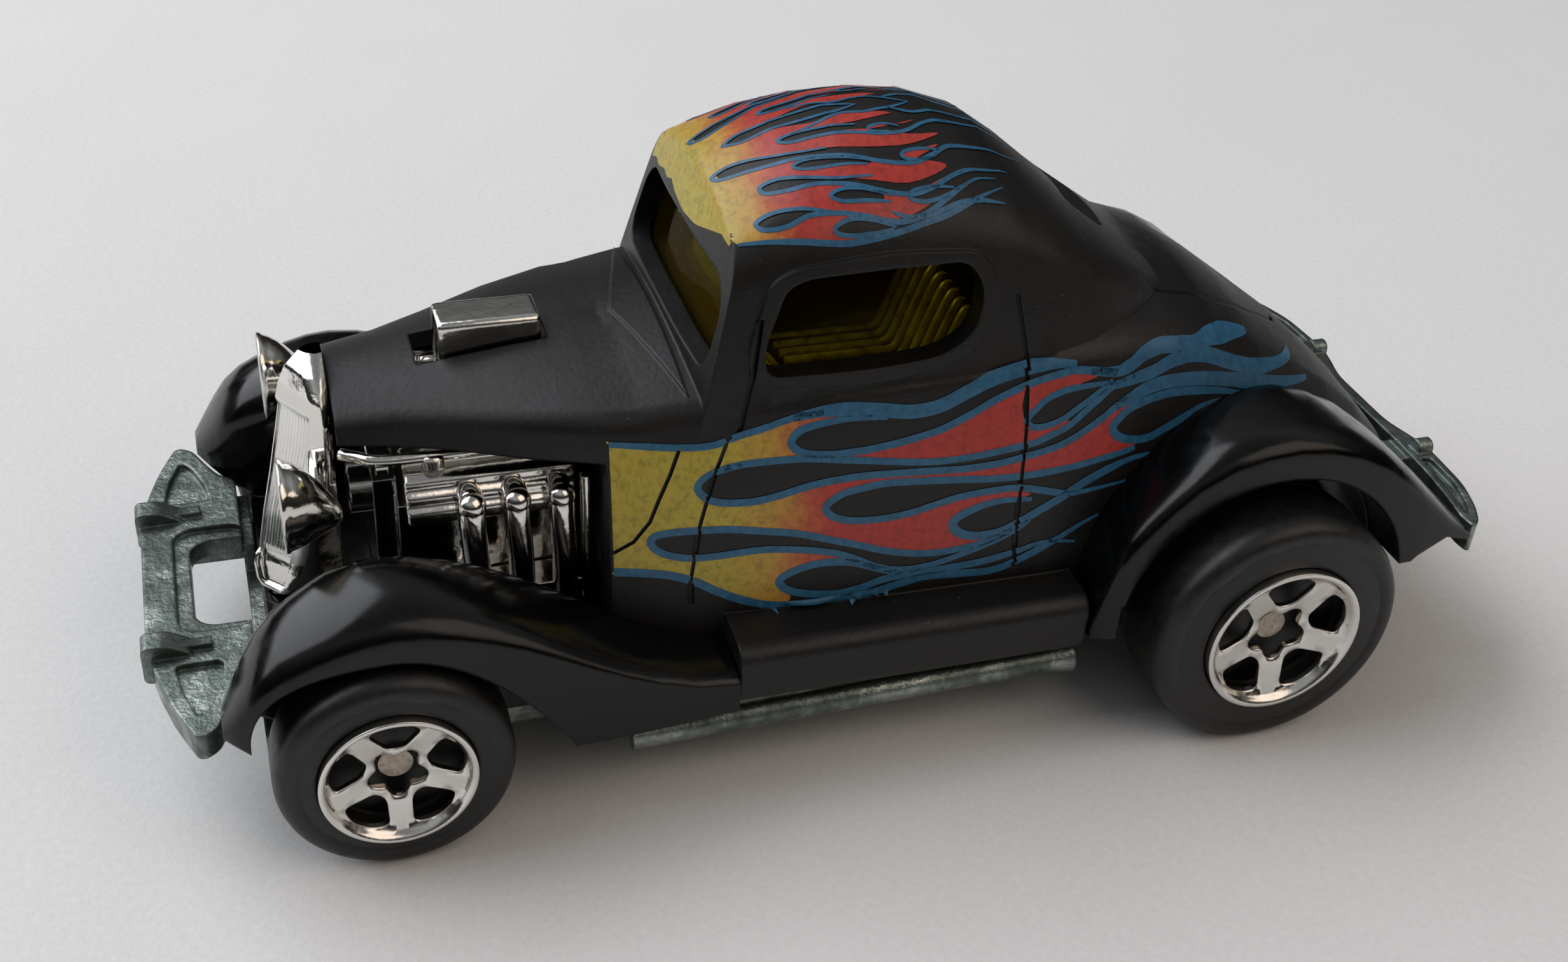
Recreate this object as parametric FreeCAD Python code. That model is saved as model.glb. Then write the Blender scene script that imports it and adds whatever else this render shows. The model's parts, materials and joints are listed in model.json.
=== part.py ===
import FreeCAD, Part
import math
import os

# Die-cast toy hot rod: a three-window coupe of the 1930s with an open engine.
# Millimetres. The nose points to -Y, the left side is +X, the floor is z = 0,
# and the origin is the middle of the footprint of the whole car.

V = FreeCAD.Vector
X_AXIS = V(1, 0, 0)
Y_AXIS = V(0, 1, 0)
ORIGIN = V(0, 0, 0)

# Fits and shared sizes
overrun = 1.0
fit_gap = 0.08
reach = 40.0
corner_limit_share = 0.45
straight_share = 0.05

# Wheels and axles
wheelbase = 39.56
front_axle_y = -21.65
rear_axle_y = front_axle_y + wheelbase
front_tyre_radius = 4.95
front_tyre_width = 3.1
front_tyre_face_x = 13.03
front_rim_radius = 3.24
rear_tyre_radius = 6.1
rear_tyre_width = 4.1
rear_tyre_face_x = 14.58
rear_rim_radius = 3.79
tyre_shoulder = 0.45
wheel_back_wall = 0.9
wheel_web = 1.1
hub_radius = 1.35
rim_proud = 0.42
rim_lip_width = 0.34
rim_lip_height = 0.12
rim_dish = 0.6
rim_plate = 0.42
spoke_count = 5
hub_recess_radius = 1.0
hub_recess_depth = 0.75
axle_radius = 0.55
axle_running_gap = 0.05
axle_head_radius = 0.72
axle_head_length = 0.35

# Body casting
casting_wall = 1.2
hood_wall = 0.7
roof_wall = 0.9
tub_half_width = 9.8
tub_peak_z = 20.6
tub_foot_z = 5.6
cowl_front_y = -11.8
screen_foot_y = -8.2
cab_rear_y = 11.4
tail_y = 29.9
hood_front_y = -22.3
hood_half_width = 7.6
hood_peak_z = 18.2
roof_half_width = 8.5
roof_peak_z = 27.1
roof_front_y = -9.6
roof_rear_y = 14.4
panel_line_width = 0.22
panel_line_depth = 0.14
cowl_panel_height = 0.12

# Openings of the cab
screen_rake = 15.0
screen_bow = 0.8
screen_low_z = 17.4
screen_sill_z = 18.6
screen_top_z = 22.6
screen_half_width = 6.6
screen_corner = 0.9
window_front_y = -5.2
window_rear_y = 4.45
window_low_z = 18.7
window_top_z = 22.95
window_corner = 1.2
window_rim_width = 0.7
window_rim_height = 0.16
rear_window_half_width = 2.8
rear_window_low_z = 21.4
rear_window_top_z = 22.9
rear_window_corner = 0.5

# Running boards
board_front_y = -6.9
board_rear_y = 9.4
board_inner_x = 8.6
board_face_x = 12.05
board_foot_z = 4.6
board_top_z = 7.9
board_edge_radius = 0.9

# Scoop and its opening in the hood
scoop_half_width = 1.13
scoop_front_y = -17.6
scoop_rear_y = -13.2
scoop_low_z = 13.2
scoop_top_z = 18.95
scoop_edge = 0.3
hood_hole_gap = 0.22
hood_hole_lead = 1.0

# Rivet posts
post_radius = 1.5
front_post_y = -9.0
rear_post_y = 23.6
rivet_radius = 0.85
rivet_head_radius = 1.5
rivet_head_height = 0.35

# Fender moulding
front_fender_nose_y = -28.2
front_fender_face_x = 12.35
front_fender_top_z = 12.6
rear_fender_tail_y = 29.0
rear_fender_face_x = 12.6
rear_fender_top_z = 15.3
rear_arch_radius = 7.25
rear_arch_cut_z = 7.6
rear_arch_rear_y = 26.1
wheel_well_gap = 0.6
front_arch_front_y = -27.2
front_arch_rear_y = -14.2
front_arch_top_z = 10.3
pan_low_z = 4.4
pan_half_width = 8.5
pan_wide_half_width = 9.0
pan_front_margin = 5.2
pan_rear_margin = 5.2
boss_half_length = 1.3
boss_half_width = 6.0
boss_cover = 1.3

# Zinc base
base_low_z = 3.0
base_half_width = 8.6
base_margin = 4.6
pocket_depth = 0.5
pocket_inner_x = 2.6
pocket_outer_x = 6.6
pocket_corner = 0.8
axle_rib_half_width = 7.0
pipe_radius = 0.66
pipe_flare = 0.2
pipe_flare_length = 1.2
pipe_x = 10.6
pipe_front_y = -11.4
pipe_front_z = 3.0
pipe_rear_y = 9.5
pipe_rear_z = 3.6
pipe_web_low_z = 3.2
pipe_web_top_z = 4.0

# Bumpers
front_bumper_y = -31.2
rear_bumper_y = 31.2
front_bumper_half_width = 10.9
rear_bumper_half_width = 11.8
front_bumper_low_z = 5.6
front_bumper_top_z = 6.8
rear_bumper_low_z = 7.0
rear_bumper_top_z = 8.5
bumper_corner = 0.7
bumper_recess = 0.3
front_window_half_width = 3.2
front_window_y = -28.95
front_pad_x = 4.95
pad_width = 1.1
pad_rise = 0.65
front_spine_width = 0.5
front_spine_length = 2.9
front_arm_inner_x = 3.3
front_arm_outer_x = 7.4
rear_arm_inner_x = 3.6
rear_arm_outer_x = 5.4
horn_x = 5.1
horn_width = 0.9
horn_length = 0.8
horn_rise = 0.55

# Grille and headlamps
grille_foot_z = 5.7
grille_shoulder_z = 16.0
grille_peak_z = 17.9
grille_half_width = 3.0
grille_front_y = -25.9
grille_back_y = -22.38
grille_recess = 0.24
grille_panel_low_z = 8.3
grille_panel_top_z = 15.5
rib_count = 11
rib_height_shares = (0.0, 0.5, 1.0)
rib_width = 0.14
foot_pad_radius = 1.35
foot_pad_z = 7.0
foot_pad_y = -26.3
lamp_x = 5.3
lamp_z = 13.6
lamp_front_y = -24.85
lamp_length = 2.35
lamp_half_width = 1.75
lamp_half_height = 2.1
lamp_rim = 0.3
lamp_stem_radius = 0.55

# Engine
engine_front_y = -20.2
engine_rear_y = -12.5
block_half_width = 4.4
block_top_z = 13.2
cover_inner_x = 2.6
cover_outer_x = 5.6
cover_low_z = 12.0
cover_top_z = 14.4
cover_edge = 0.7
header_x = 6.1
header_radius = 0.6
header_low_z = 7.6
header_top_z = 13.4
header_arm_z = 12.8
header_arm_radius = 0.45
first_header_y = -17.2
header_pitch = 1.9
header_count = 3
rear_pipe_y = -12.35
rear_pipe_radius = 0.38
rear_pipe_top_z = 14.0
collector_height = 1.0
rail_radius = 0.26
rail_z = 14.62
rail_x = 4.35
rail_front_y = -22.2
fitting_y = -18.5
fitting_radius = 0.48
radiator_half_width = 3.4
radiator_length = 0.9
belt_drive_radius = 1.15

# Cab furniture
lining_gap = 0.08
glass_thickness = 0.7
glass_low_z = 17.6
floor_half_width = 7.6
floor_top_z = 7.0
floor_front_y = -7.2
floor_rear_y = 11.0
dash_half_width = 6.1
dash_length = 1.6
dash_top_z = 16.2
bench_half_width = 6.8
bench_front_y = -0.6
bench_top_z = 12.6
back_front_y = 5.0
back_lean = 1.7
back_top_z = 17.3
back_rear_y = 8.6
flute_count = 15
flute_depth = 0.28
wheel_x = 3.6
wheel_y = -3.7
wheel_z = 16.6
wheel_rim_radius = 1.75
wheel_rim_thickness = 0.24
wheel_tilt = 48.0
wheel_rim_sides = 6
wheel_hub_radius = 0.5
column_length = 2.6
column_radius = 0.35


def bezier(points):
    """One smooth edge from its control points."""
    curve = Part.BezierCurve()
    curve.setPoles(points)
    return curve.toShape()


def line(start, end):
    return Part.makeLine(start, end)


def box(x0, x1, y0, y1, z0, z1):
    """Box between six limits."""
    return Part.makeBox(x1 - x0, y1 - y0, z1 - z0, V(x0, y0, z0))


def rod(radius, start, end):
    """Round bar between two points."""
    axis = end - start
    return Part.makeCylinder(radius, axis.Length, start, axis)


def prism(points, axis):
    """Straight-sided outline extruded along a vector."""
    wire = Part.makePolygon(points + [points[0]])
    return Part.Face(wire).extrude(axis)


def soft_wire(points, corner):
    """Closed outline with rounded corners, each at most to near the middle of its sides."""
    edges = []
    last_end = None
    first_start = None
    count = len(points)
    for index, point in enumerate(points):
        back = points[index - 1] - point
        onward = points[(index + 1) % count] - point
        cut_back = min(corner, corner_limit_share * back.Length, corner_limit_share * onward.Length)
        start = point + back.normalize() * cut_back
        end = point + onward.normalize() * cut_back
        inward = back + onward
        rise = cut_back * math.tan((math.pi - back.getAngle(onward)) / 4)
        if last_end is not None:
            edges.append(line(last_end, start))
        if inward.Length > straight_share:
            edges.append(Part.Arc(start, point + inward.normalize() * rise, end).toShape())
        else:
            edges.append(line(start, end))
        last_end = end
        if first_start is None:
            first_start = start
    edges.append(line(last_end, first_start))
    return Part.Wire(edges)


def soft_prism(points, corner, axis):
    return Part.Face(soft_wire(points, corner)).extrude(axis)


def mirror_x(shape):
    return shape.mirror(ORIGIN, X_AXIS)


def both_sides(shape):
    """The shape and its mirror image across the car."""
    return shape.fuse(mirror_x(shape))


def save(name, shape):
    shape.exportStep("parts/" + name + ".step")


def along(start, end, shares):
    """Places between two ends at the given shares of the run."""
    return [start + share * (end - start) for share in shares]


def meet(p, p_dir, q, q_dir):
    """Where two lines in the x-z plane cross."""
    cross = p_dir.x * q_dir.z - p_dir.z * q_dir.x
    t = ((q.x - p.x) * q_dir.z - (q.z - p.z) * q_dir.x) / cross
    return V(p.x + t * p_dir.x, p.y, p.z + t * p_dir.z)


def mirrored(points):
    """The points on the other side of the car, in reverse order."""
    return [V(-p.x, p.y, p.z) for p in reversed(points)]


def solid_from(faces):
    """Closed solid sewn from its faces."""
    shell = Part.Shell(faces)
    shell.sewShape()
    solid = Part.Solid(shell)
    if solid.Volume < 0:
        solid.reverse()
    return solid


def arch_section(station, inset=0.0):
    """Strips round the body: curved sides, rounded shoulders, crowned top, flat foot."""
    y, foot, hip, shoulder, crown_end, peak_z = station
    foot_point = V(foot[0] - inset, y, foot[1])
    hip_point = V(hip[0] - inset, y, hip[1])
    shoulder_point = V(shoulder[0] - inset, y, shoulder[1] - inset / 2)
    end_point = V(crown_end[0] - inset / 2, y, crown_end[1] - inset)
    crown_point = V(0, y, 2 * (peak_z - inset) - end_point.z)
    corner = meet(shoulder_point, shoulder_point - hip_point, end_point, end_point - crown_point)
    side = [foot_point, hip_point, shoulder_point]
    rounding = [shoulder_point, corner, end_point]
    top = [end_point, crown_point, V(-end_point.x, y, end_point.z)]
    base = [V(-foot_point.x, y, foot_point.z), foot_point]
    return [side, rounding, top, mirrored(rounding), mirrored(side), base]


def steps_between(sections, steps):
    """Sections at even steps on smooth curves through the control points of the given ones."""
    first_y = sections[0][0][0].y
    span = sections[-1][0][0].y - first_y
    places = [(section[0][0].y - first_y) / span for section in sections]
    dense_places = []
    for start, end in zip(places, places[1:]):
        dense_places.extend(start + (end - start) * step / steps for step in range(steps))
    dense_places.append(places[-1])
    dense = [[] for place in dense_places]
    for strip in range(len(sections[0])):
        curves = []
        for pole in range(len(sections[0][strip])):
            curve = Part.BSplineCurve()
            curve.interpolate(Points=[section[strip][pole] for section in sections], Parameters=places)
            curves.append(curve)
        for section, place in zip(dense, dense_places):
            section.append([curve.value(place) for curve in curves])
    return dense


def strip_face(start, end):
    """Ruled face between the same strip of two neighbouring sections."""
    degree = len(start) - 1
    surface = Part.BSplineSurface()
    poles = [[a, b] for a, b in zip(start, end)]
    ends = [0.0, 1.0]
    full = degree + 1
    surface.buildFromPolesMultsKnots(poles, [full, full], [2, 2], ends, ends, False, False, degree, 1)
    return surface.toShape()


def skin(sections, steps=2):
    """Solid through a row of sections, each a closed ring of strips."""
    dense = steps_between(sections, steps)
    faces = []
    for start, end in zip(dense, dense[1:]):
        faces.extend(strip_face(a, b) for a, b in zip(start, end))
    for section in (dense[0], dense[-1]):
        faces.append(Part.Face(Part.Wire([bezier(strip) for strip in section])))
    return solid_from(faces)


def flat_ring(station, inset, drop):
    """Straight-sided outline inside a section, for faces that are not seen."""
    y, foot, hip, shoulder, crown_end, peak_z = station
    waist_x = (foot[0] + 2 * hip[0] + shoulder[0]) / 4
    waist_z = (foot[1] + 2 * hip[1] + shoulder[1]) / 4
    half = [
        V(foot[0] - inset, y, foot[1] - drop),
        V(waist_x - inset, y, waist_z),
        V(shoulder[0] - inset, y, shoulder[1] - inset / 2),
        V(crown_end[0] - inset / 2, y, crown_end[1] - inset),
        V(crown_end[0] / 2, y, (crown_end[1] + 3 * peak_z) / 4 - inset),
    ]
    return half + mirrored(half)


def flat_skin(stations, inset, drop=0.0, front=0.0, rear=0.0):
    """Flat-faced space inside a row of stations, moved at its two ends."""
    wires = []
    for index, station in enumerate(stations):
        shift = 0.0
        if index == 0:
            shift = front
        if index == len(stations) - 1:
            shift = -rear
        ring = [p + V(0, shift, 0) for p in flat_ring(station, inset, drop)]
        wires.append(Part.makePolygon(ring + [ring[0]]))
    return Part.makeLoft(wires, True, True)


def sized(ys, rows, width, height, foot_z):
    """Stations in millimetres from rows of shares of a width and a height."""
    stations = []
    for y, row in zip(ys, rows):
        points = [(x * width, z * height) for x, z in row[:4]]
        points[0] = (points[0][0], foot_z)
        stations.append((y, points[0], points[1], points[2], points[3], row[4] * height))
    return stations


# Sections of the tub from the cowl to the tail: foot, hip, shoulder, end of the crown, peak
tub_shares = (
    ((0.888, 0.0), (0.857, 0.583), (0.735, 0.791), (0.653, 0.83), 0.869),
    ((0.929, 0.0), (0.918, 0.583), (0.786, 0.811), (0.704, 0.854), 0.898),
    ((0.969, 0.0), (0.98, 0.583), (0.847, 0.84), (0.755, 0.879), 0.908),
    ((0.98, 0.0), (1.0, 0.583), (0.857, 0.854), (0.755, 0.898), 0.942),
    ((0.98, 0.0), (1.0, 0.583), (0.837, 0.859), (0.714, 0.922), 1.0),
    ((0.949, 0.0), (0.959, 0.563), (0.776, 0.801), (0.622, 0.874), 0.942),
    ((0.898, 0.0), (0.888, 0.505), (0.684, 0.665), (0.531, 0.731), 0.774),
    ((0.816, 0.0), (0.796, 0.408), (0.612, 0.5), (0.469, 0.558), 0.587),
    ((0.714, 0.0), (0.694, 0.316), (0.551, 0.345), (0.429, 0.369), 0.383),
)
cab_y_shares = (0.0, 0.316, 0.648)
tail_y_shares = (0.0, 0.27, 0.551, 0.811, 1.0)
tub_ys = [cowl_front_y]
tub_ys += along(screen_foot_y, cab_rear_y, cab_y_shares)
tub_ys += along(cab_rear_y, tail_y, tail_y_shares)
tub_stations = sized(tub_ys, tub_shares, tub_half_width, tub_peak_z, tub_foot_z)

# Sections of the hood, which ends inside the cowl
hood_shares = (
    ((0.487, 0.0), (0.476, 0.846), (0.461, 0.868), (0.382, 0.896), 0.929),
    ((0.671, 0.0), (0.661, 0.863), (0.645, 0.885), (0.553, 0.923), 0.962),
    ((0.982, 0.0), (0.974, 0.868), (0.954, 0.902), (0.845, 0.948), 0.995),
    ((1.0, 0.0), (0.987, 0.874), (0.961, 0.901), (0.868, 0.945), 1.0),
)
hood_y_shares = (0.0, 0.448, 1.0)
hood_ys = along(hood_front_y, cowl_front_y, hood_y_shares) + [screen_foot_y]
hood_foot_share = 0.835
hood_stations = sized(hood_ys, hood_shares, hood_half_width, hood_peak_z, hood_foot_share * hood_peak_z)

# Sections of the greenhouse
roof_shares = (
    ((0.918, 0.0), (0.871, 0.686), (0.765, 0.782), (0.6, 0.834), 0.852),
    ((0.941, 0.0), (0.894, 0.694), (0.8, 0.815), (0.624, 0.882), 0.915),
    ((0.976, 0.0), (0.918, 0.708), (0.824, 0.841), (0.624, 0.93), 0.974),
    ((1.0, 0.0), (0.929, 0.716), (0.835, 0.849), (0.612, 0.946), 1.0),
    ((1.0, 0.0), (0.929, 0.716), (0.824, 0.838), (0.588, 0.917), 0.965),
    ((0.965, 0.0), (0.894, 0.708), (0.8, 0.782), (0.576, 0.83), 0.86),
    ((0.871, 0.0), (0.824, 0.679), (0.729, 0.738), (0.541, 0.779), 0.801),
    ((0.729, 0.0), (0.682, 0.638), (0.612, 0.686), (0.494, 0.72), 0.742),
)
roof_y_shares = (0.0, 0.125, 0.275, 0.4625, 0.65, 0.808, 0.9, 1.0)
roof_foot_share = 0.59
roof_ys = along(roof_front_y, roof_rear_y, roof_y_shares)
roof_stations = sized(roof_ys, roof_shares, roof_half_width, roof_peak_z, roof_foot_share * roof_peak_z)

# Sections of the front fender: place, inner x, crown x, outer x, foot, outer top, crown, inner top
front_fender_shares = (
    (0.0, 0.794, 0.858, 0.923, 0.557, 0.573, 0.597, 0.567),
    (0.028, 0.713, 0.842, 0.964, 0.541, 0.613, 0.677, 0.597),
    (0.08, 0.648, 0.81, 0.988, 0.478, 0.709, 0.82, 0.701),
    (0.151, 0.599, 0.769, 0.996, 0.43, 0.788, 0.912, 0.764),
    (0.222, 0.567, 0.745, 1.0, 0.39, 0.836, 0.967, 0.812),
    (0.321, 0.559, 0.737, 1.0, 0.374, 0.868, 1.0, 0.828),
    (0.448, 0.559, 0.737, 1.0, 0.358, 0.844, 0.955, 0.78),
    (0.571, 0.575, 0.737, 1.0, 0.358, 0.772, 0.864, 0.717),
    (0.698, 0.599, 0.737, 1.0, 0.358, 0.661, 0.732, 0.637),
    (0.83, 0.623, 0.745, 0.996, 0.366, 0.557, 0.609, 0.557),
    (1.0, 0.68, 0.753, 0.988, 0.39, 0.494, 0.537, 0.525),
)

# Sections of the rear fender, in the same order
rear_fender_shares = (
    (0.0, 0.619, 0.857, 0.968, 0.379, 0.405, 0.444, 0.418),
    (0.031, 0.619, 0.865, 0.992, 0.379, 0.562, 0.627, 0.601),
    (0.093, 0.603, 0.873, 1.0, 0.379, 0.712, 0.778, 0.758),
    (0.206, 0.587, 0.881, 1.0, 0.327, 0.856, 0.922, 0.889),
    (0.361, 0.556, 0.881, 1.0, 0.327, 0.935, 1.0, 0.961),
    (0.526, 0.54, 0.873, 1.0, 0.327, 0.928, 0.993, 0.954),
    (0.691, 0.508, 0.849, 1.0, 0.34, 0.837, 0.908, 0.856),
    (0.845, 0.476, 0.817, 0.992, 0.515, 0.673, 0.745, 0.699),
    (1.0, 0.46, 0.762, 0.96, 0.525, 0.538, 0.56, 0.542),
)


def fender_section(y, row, width, height):
    """Strips round a fender: outer face, crown, inner face and flat foot."""
    x_in, x_crown, x_out = [share * width for share in row[1:4]]
    z_low, z_out, z_crown, z_in = [share * height for share in row[4:]]
    out_low = V(x_out, y, z_low)
    out_top = V(x_out, y, z_out)
    crown = V(x_crown, y, z_crown)
    in_top = V(x_in, y, z_in)
    in_low = V(x_in, y, z_low)
    return [
        [out_low, out_top],
        [out_top, V(x_out, y, z_crown), crown],
        [crown, V(x_in, y, z_crown), in_top],
        [in_top, in_low],
        [in_low, out_low],
    ]


def fender(start_y, end_y, rows, width, height):
    """Left fender through rows of shares."""
    ys = along(start_y, end_y, [row[0] for row in rows])
    return skin([fender_section(y, row, width, height) for y, row in zip(ys, rows)])


def screen_block(inset):
    """What lies before the raked, bowed windscreen."""
    left = V(-reach, inset + screen_bow, -reach)
    middle = V(0, inset - screen_bow, -reach)
    right = V(reach, inset + screen_bow, -reach)
    near_left = V(-tub_half_width, inset + screen_bow, -reach)
    near_right = V(tub_half_width, inset + screen_bow, -reach)
    front = V(0, -reach, 0)
    edges = [
        bezier([near_left, middle, near_right]),
        line(near_right, right),
        line(right, right + front),
        line(right + front, left + front),
        line(left + front, left),
        line(left, near_left),
    ]
    block = Part.Face(Part.Wire(edges)).extrude(V(0, 0, 2 * reach))
    block.rotate(ORIGIN, X_AXIS, -screen_rake)
    block.translate(V(0, screen_foot_y, screen_low_z))
    return block


def outer_greenhouse(inset=0.0):
    """Cab above the belt, its front cut along the windscreen."""
    shape = skin([arch_section(station, inset) for station in roof_stations])
    return shape.cut(screen_block(inset))


def inner_greenhouse(stations, inset, rear, low_z=None):
    """Flat-faced space inside the greenhouse."""
    shape = flat_skin(stations, inset, inset, 0.0, rear)
    shape = shape.cut(screen_block(inset))
    if low_z is not None:
        shape = shape.cut(box(-reach, reach, -reach, reach, 0, low_z))
    return shape


# Side window: shares of its length and height, from the front foot round by the top
side_window_shares = (
    (0.01, 0.0), (0.0, 0.3), (0.1, 0.87), (0.2, 0.96), (0.55, 1.0), (0.92, 1.0),
    (1.0, 0.7), (0.95, 0.25), (0.8, 0.07), (0.5, 0.01),
)


def side_window(margin=0.0):
    """Opening in both doors, as one bar right across the car."""
    length = window_rear_y - window_front_y
    height = window_top_z - window_low_z
    middle = V(0, window_front_y + length / 2, window_low_z + height / 2)
    points = []
    for share_y, share_z in side_window_shares:
        point = V(0, window_front_y + share_y * length, window_low_z + share_z * height)
        away = point - middle
        away.normalize()
        points.append(point + away * margin + V(-reach, 0, 0))
    return soft_prism(points, window_corner + margin, V(2 * reach, 0, 0))


def window_rims():
    """Raised rim round each side window, before the openings are cut."""
    ring = side_window(window_rim_width).cut(side_window(-fit_gap))
    ring = ring.cut(box(-dash_half_width, dash_half_width, -reach, reach, 0, reach))
    swelled = skin([arch_section(station, -window_rim_height) for station in roof_stations])
    return ring.common(swelled)


# Windscreen: shares of its half width and height, from the middle of the sill to the middle of the top
windscreen_shares = ((0.0, 0.06), (0.93, 0.0), (1.0, 0.2), (0.97, 0.7), (0.83, 0.96), (0.0, 1.0))


def windscreen():
    """Opening in front of the cab."""
    height = screen_top_z - screen_sill_z
    start_y = screen_foot_y - overrun
    half = []
    for share_x, share_z in windscreen_shares:
        half.append(V(share_x * screen_half_width, start_y, screen_sill_z + share_z * height))
    return soft_prism(half + mirrored(half[1:-1]), screen_corner, V(0, 5 * overrun, 0))


def rear_window():
    """Small opening in the back of the cab."""
    low = V(rear_window_half_width, back_rear_y, rear_window_low_z)
    top = V(0.85 * rear_window_half_width, back_rear_y, rear_window_top_z)
    half = [low, top]
    return soft_prism(half + mirrored(half), rear_window_corner, V(0, reach, 0))


def blade(points, width, axis):
    """Thin upright strip along a row of points, swept along an axis."""
    sides = []
    for index, point in enumerate(points):
        before = points[max(index - 1, 0)]
        after = points[min(index + 1, len(points) - 1)]
        across = (after - before).cross(axis)
        across.normalize()
        sides.append(across * (width / 2))
    left = [point + side for point, side in zip(points, sides)]
    right = [point - side for point, side in zip(points, sides)]
    return prism(left + right[::-1], axis)


# Door and cowl lines: shares of the run from the cowl to the cab's rear, and of the tub's peak height
cowl_line_shares = ((0.13, 0.765), (0.112, 0.714), (0.09, 0.66), (0.073, 0.612), (0.043, 0.568), (0.0, 0.54))
front_door_shares = (
    (0.28, 1.03), (0.262, 0.9), (0.24, 0.8), (0.19, 0.704), (0.162, 0.592), (0.147, 0.47), (0.147, 0.41),
)
rear_door_shares = ((0.765, 1.03), (0.787, 0.9), (0.789, 0.752), (0.784, 0.617), (0.784, 0.5), (0.789, 0.41))
# Deck lid: shares of the half width and of the run from the cab's rear to the tail
deck_lid_shares = ((0.53, 0.1), (0.5, 0.18), (0.43, 0.34), (0.33, 0.48), (0.2, 0.6), (0.0, 0.66))


def panel_lines():
    """Shallow grooves where doors, cowl and deck lid end."""
    cutters = []
    for rows in (cowl_line_shares, front_door_shares, rear_door_shares):
        points = []
        for share_y, share_z in rows:
            y = cowl_front_y + share_y * (cab_rear_y - cowl_front_y)
            points.append(V(dash_half_width, y, share_z * tub_peak_z))
        strip = blade(points, panel_line_width, V(reach, 0, 0))
        cutters.extend([strip, mirror_x(strip)])
    half = []
    for share_x, share_y in deck_lid_shares:
        half.append(V(share_x * tub_half_width, cab_rear_y + share_y * (tail_y - cab_rear_y), base_low_z))
    cutters.append(blade(half + mirrored(half)[1:], panel_line_width, V(0, 0, reach)))
    tub_core = skin([arch_section(station, panel_line_depth) for station in tub_stations])
    roof_core = skin([arch_section(station, panel_line_depth) for station in roof_stations])
    return [cutter.cut([tub_core, roof_core]) for cutter in cutters]


def cowl_panel(swelled_tub):
    """Slightly raised vee on the cowl, before the windscreen."""
    point_y = cowl_front_y + 0.5 * (screen_foot_y - cowl_front_y)
    half_width = 0.7 * tub_half_width
    left = V(half_width, screen_foot_y, screen_low_z)
    right = V(-half_width, screen_foot_y, screen_low_z)
    points = [right, V(0, point_y, screen_low_z), left]
    return prism(points, V(0, 0, casting_wall + overrun)).common(swelled_tub)


def running_board():
    """Rounded step below the door, in one piece with the body."""
    outline = [
        V(board_inner_x, board_front_y, board_top_z),
        V(board_face_x, board_front_y, board_top_z - panel_line_width),
        V(board_face_x - panel_line_width, board_front_y, board_foot_z),
        V(board_inner_x, board_front_y, board_foot_z),
    ]
    return soft_prism(outline, board_edge_radius, V(0, board_rear_y - board_front_y, 0))


def hood_inside():
    """Space below the hood, open at the front and the foot, flat-sided."""
    front, rear = hood_stations[0], hood_stations[2]
    wires = []
    for station, y in ((front, front[0] - overrun), (rear, cowl_front_y - fit_gap)):
        outline = flat_ring((y,) + tuple(station[1:]), hood_wall, overrun)
        wires.append(Part.makePolygon(outline + [outline[0]]))
    return Part.makeLoft(wires, True, True)


def rivet_posts(tub):
    """Posts of the casting that pass through moulding and base and are headed below."""
    posts = []
    for y in (front_post_y, rear_post_y):
        post = rod(post_radius, V(0, y, tub_foot_z), V(0, y, tub_peak_z)).common(tub)
        foot = rod(post_radius, V(0, y, pan_low_z), V(0, y, tub_foot_z))
        pin = rod(rivet_radius, V(0, y, base_low_z), V(0, y, pan_low_z))
        head = rod(rivet_head_radius, V(0, y, base_low_z), V(0, y, base_low_z + rivet_head_height))
        posts.extend([post, foot, pin, head])
    return posts


def body_shell():
    """Hollow casting: hood, cowl, cab, tail, running boards and two rivet posts."""
    tub = skin([arch_section(station) for station in tub_stations])
    swelled_tub = skin([arch_section(station, -cowl_panel_height) for station in tub_stations[:3]])
    hood = skin([arch_section(station) for station in hood_stations])
    outer = tub.fuse([outer_greenhouse(), hood, window_rims(), cowl_panel(swelled_tub)])
    tub_inside = flat_skin(tub_stations[:-1], casting_wall, overrun, casting_wall)
    roof_inside = inner_greenhouse(roof_stations[:-1], roof_wall, roof_wall)
    shell = outer.cut([tub_inside, roof_inside, hood_inside()])
    shell = shell.cut([side_window(), windscreen(), rear_window()])
    hole = box(
        -scoop_half_width - hood_hole_gap,
        scoop_half_width + hood_hole_gap,
        scoop_front_y - hood_hole_lead,
        scoop_rear_y + hood_hole_gap,
        scoop_low_z,
        tub_peak_z,
    )
    shell = shell.cut([hole] + panel_lines())
    shell = shell.fuse(rivet_posts(tub))
    shell = shell.cut(axle_channel(rear_axle_y, rear_tyre_radius))
    return shell.fuse([running_board(), mirror_x(running_board())])


def axle_channel(y, z):
    """Downward slot, with a round top, that an axle drops into."""
    radius = axle_radius + fit_gap
    groove = rod(radius, V(-rear_tyre_face_x, y, z), V(rear_tyre_face_x, y, z))
    return groove.fuse(box(-rear_tyre_face_x, rear_tyre_face_x, y - radius, y + radius, 0, z))


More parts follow.
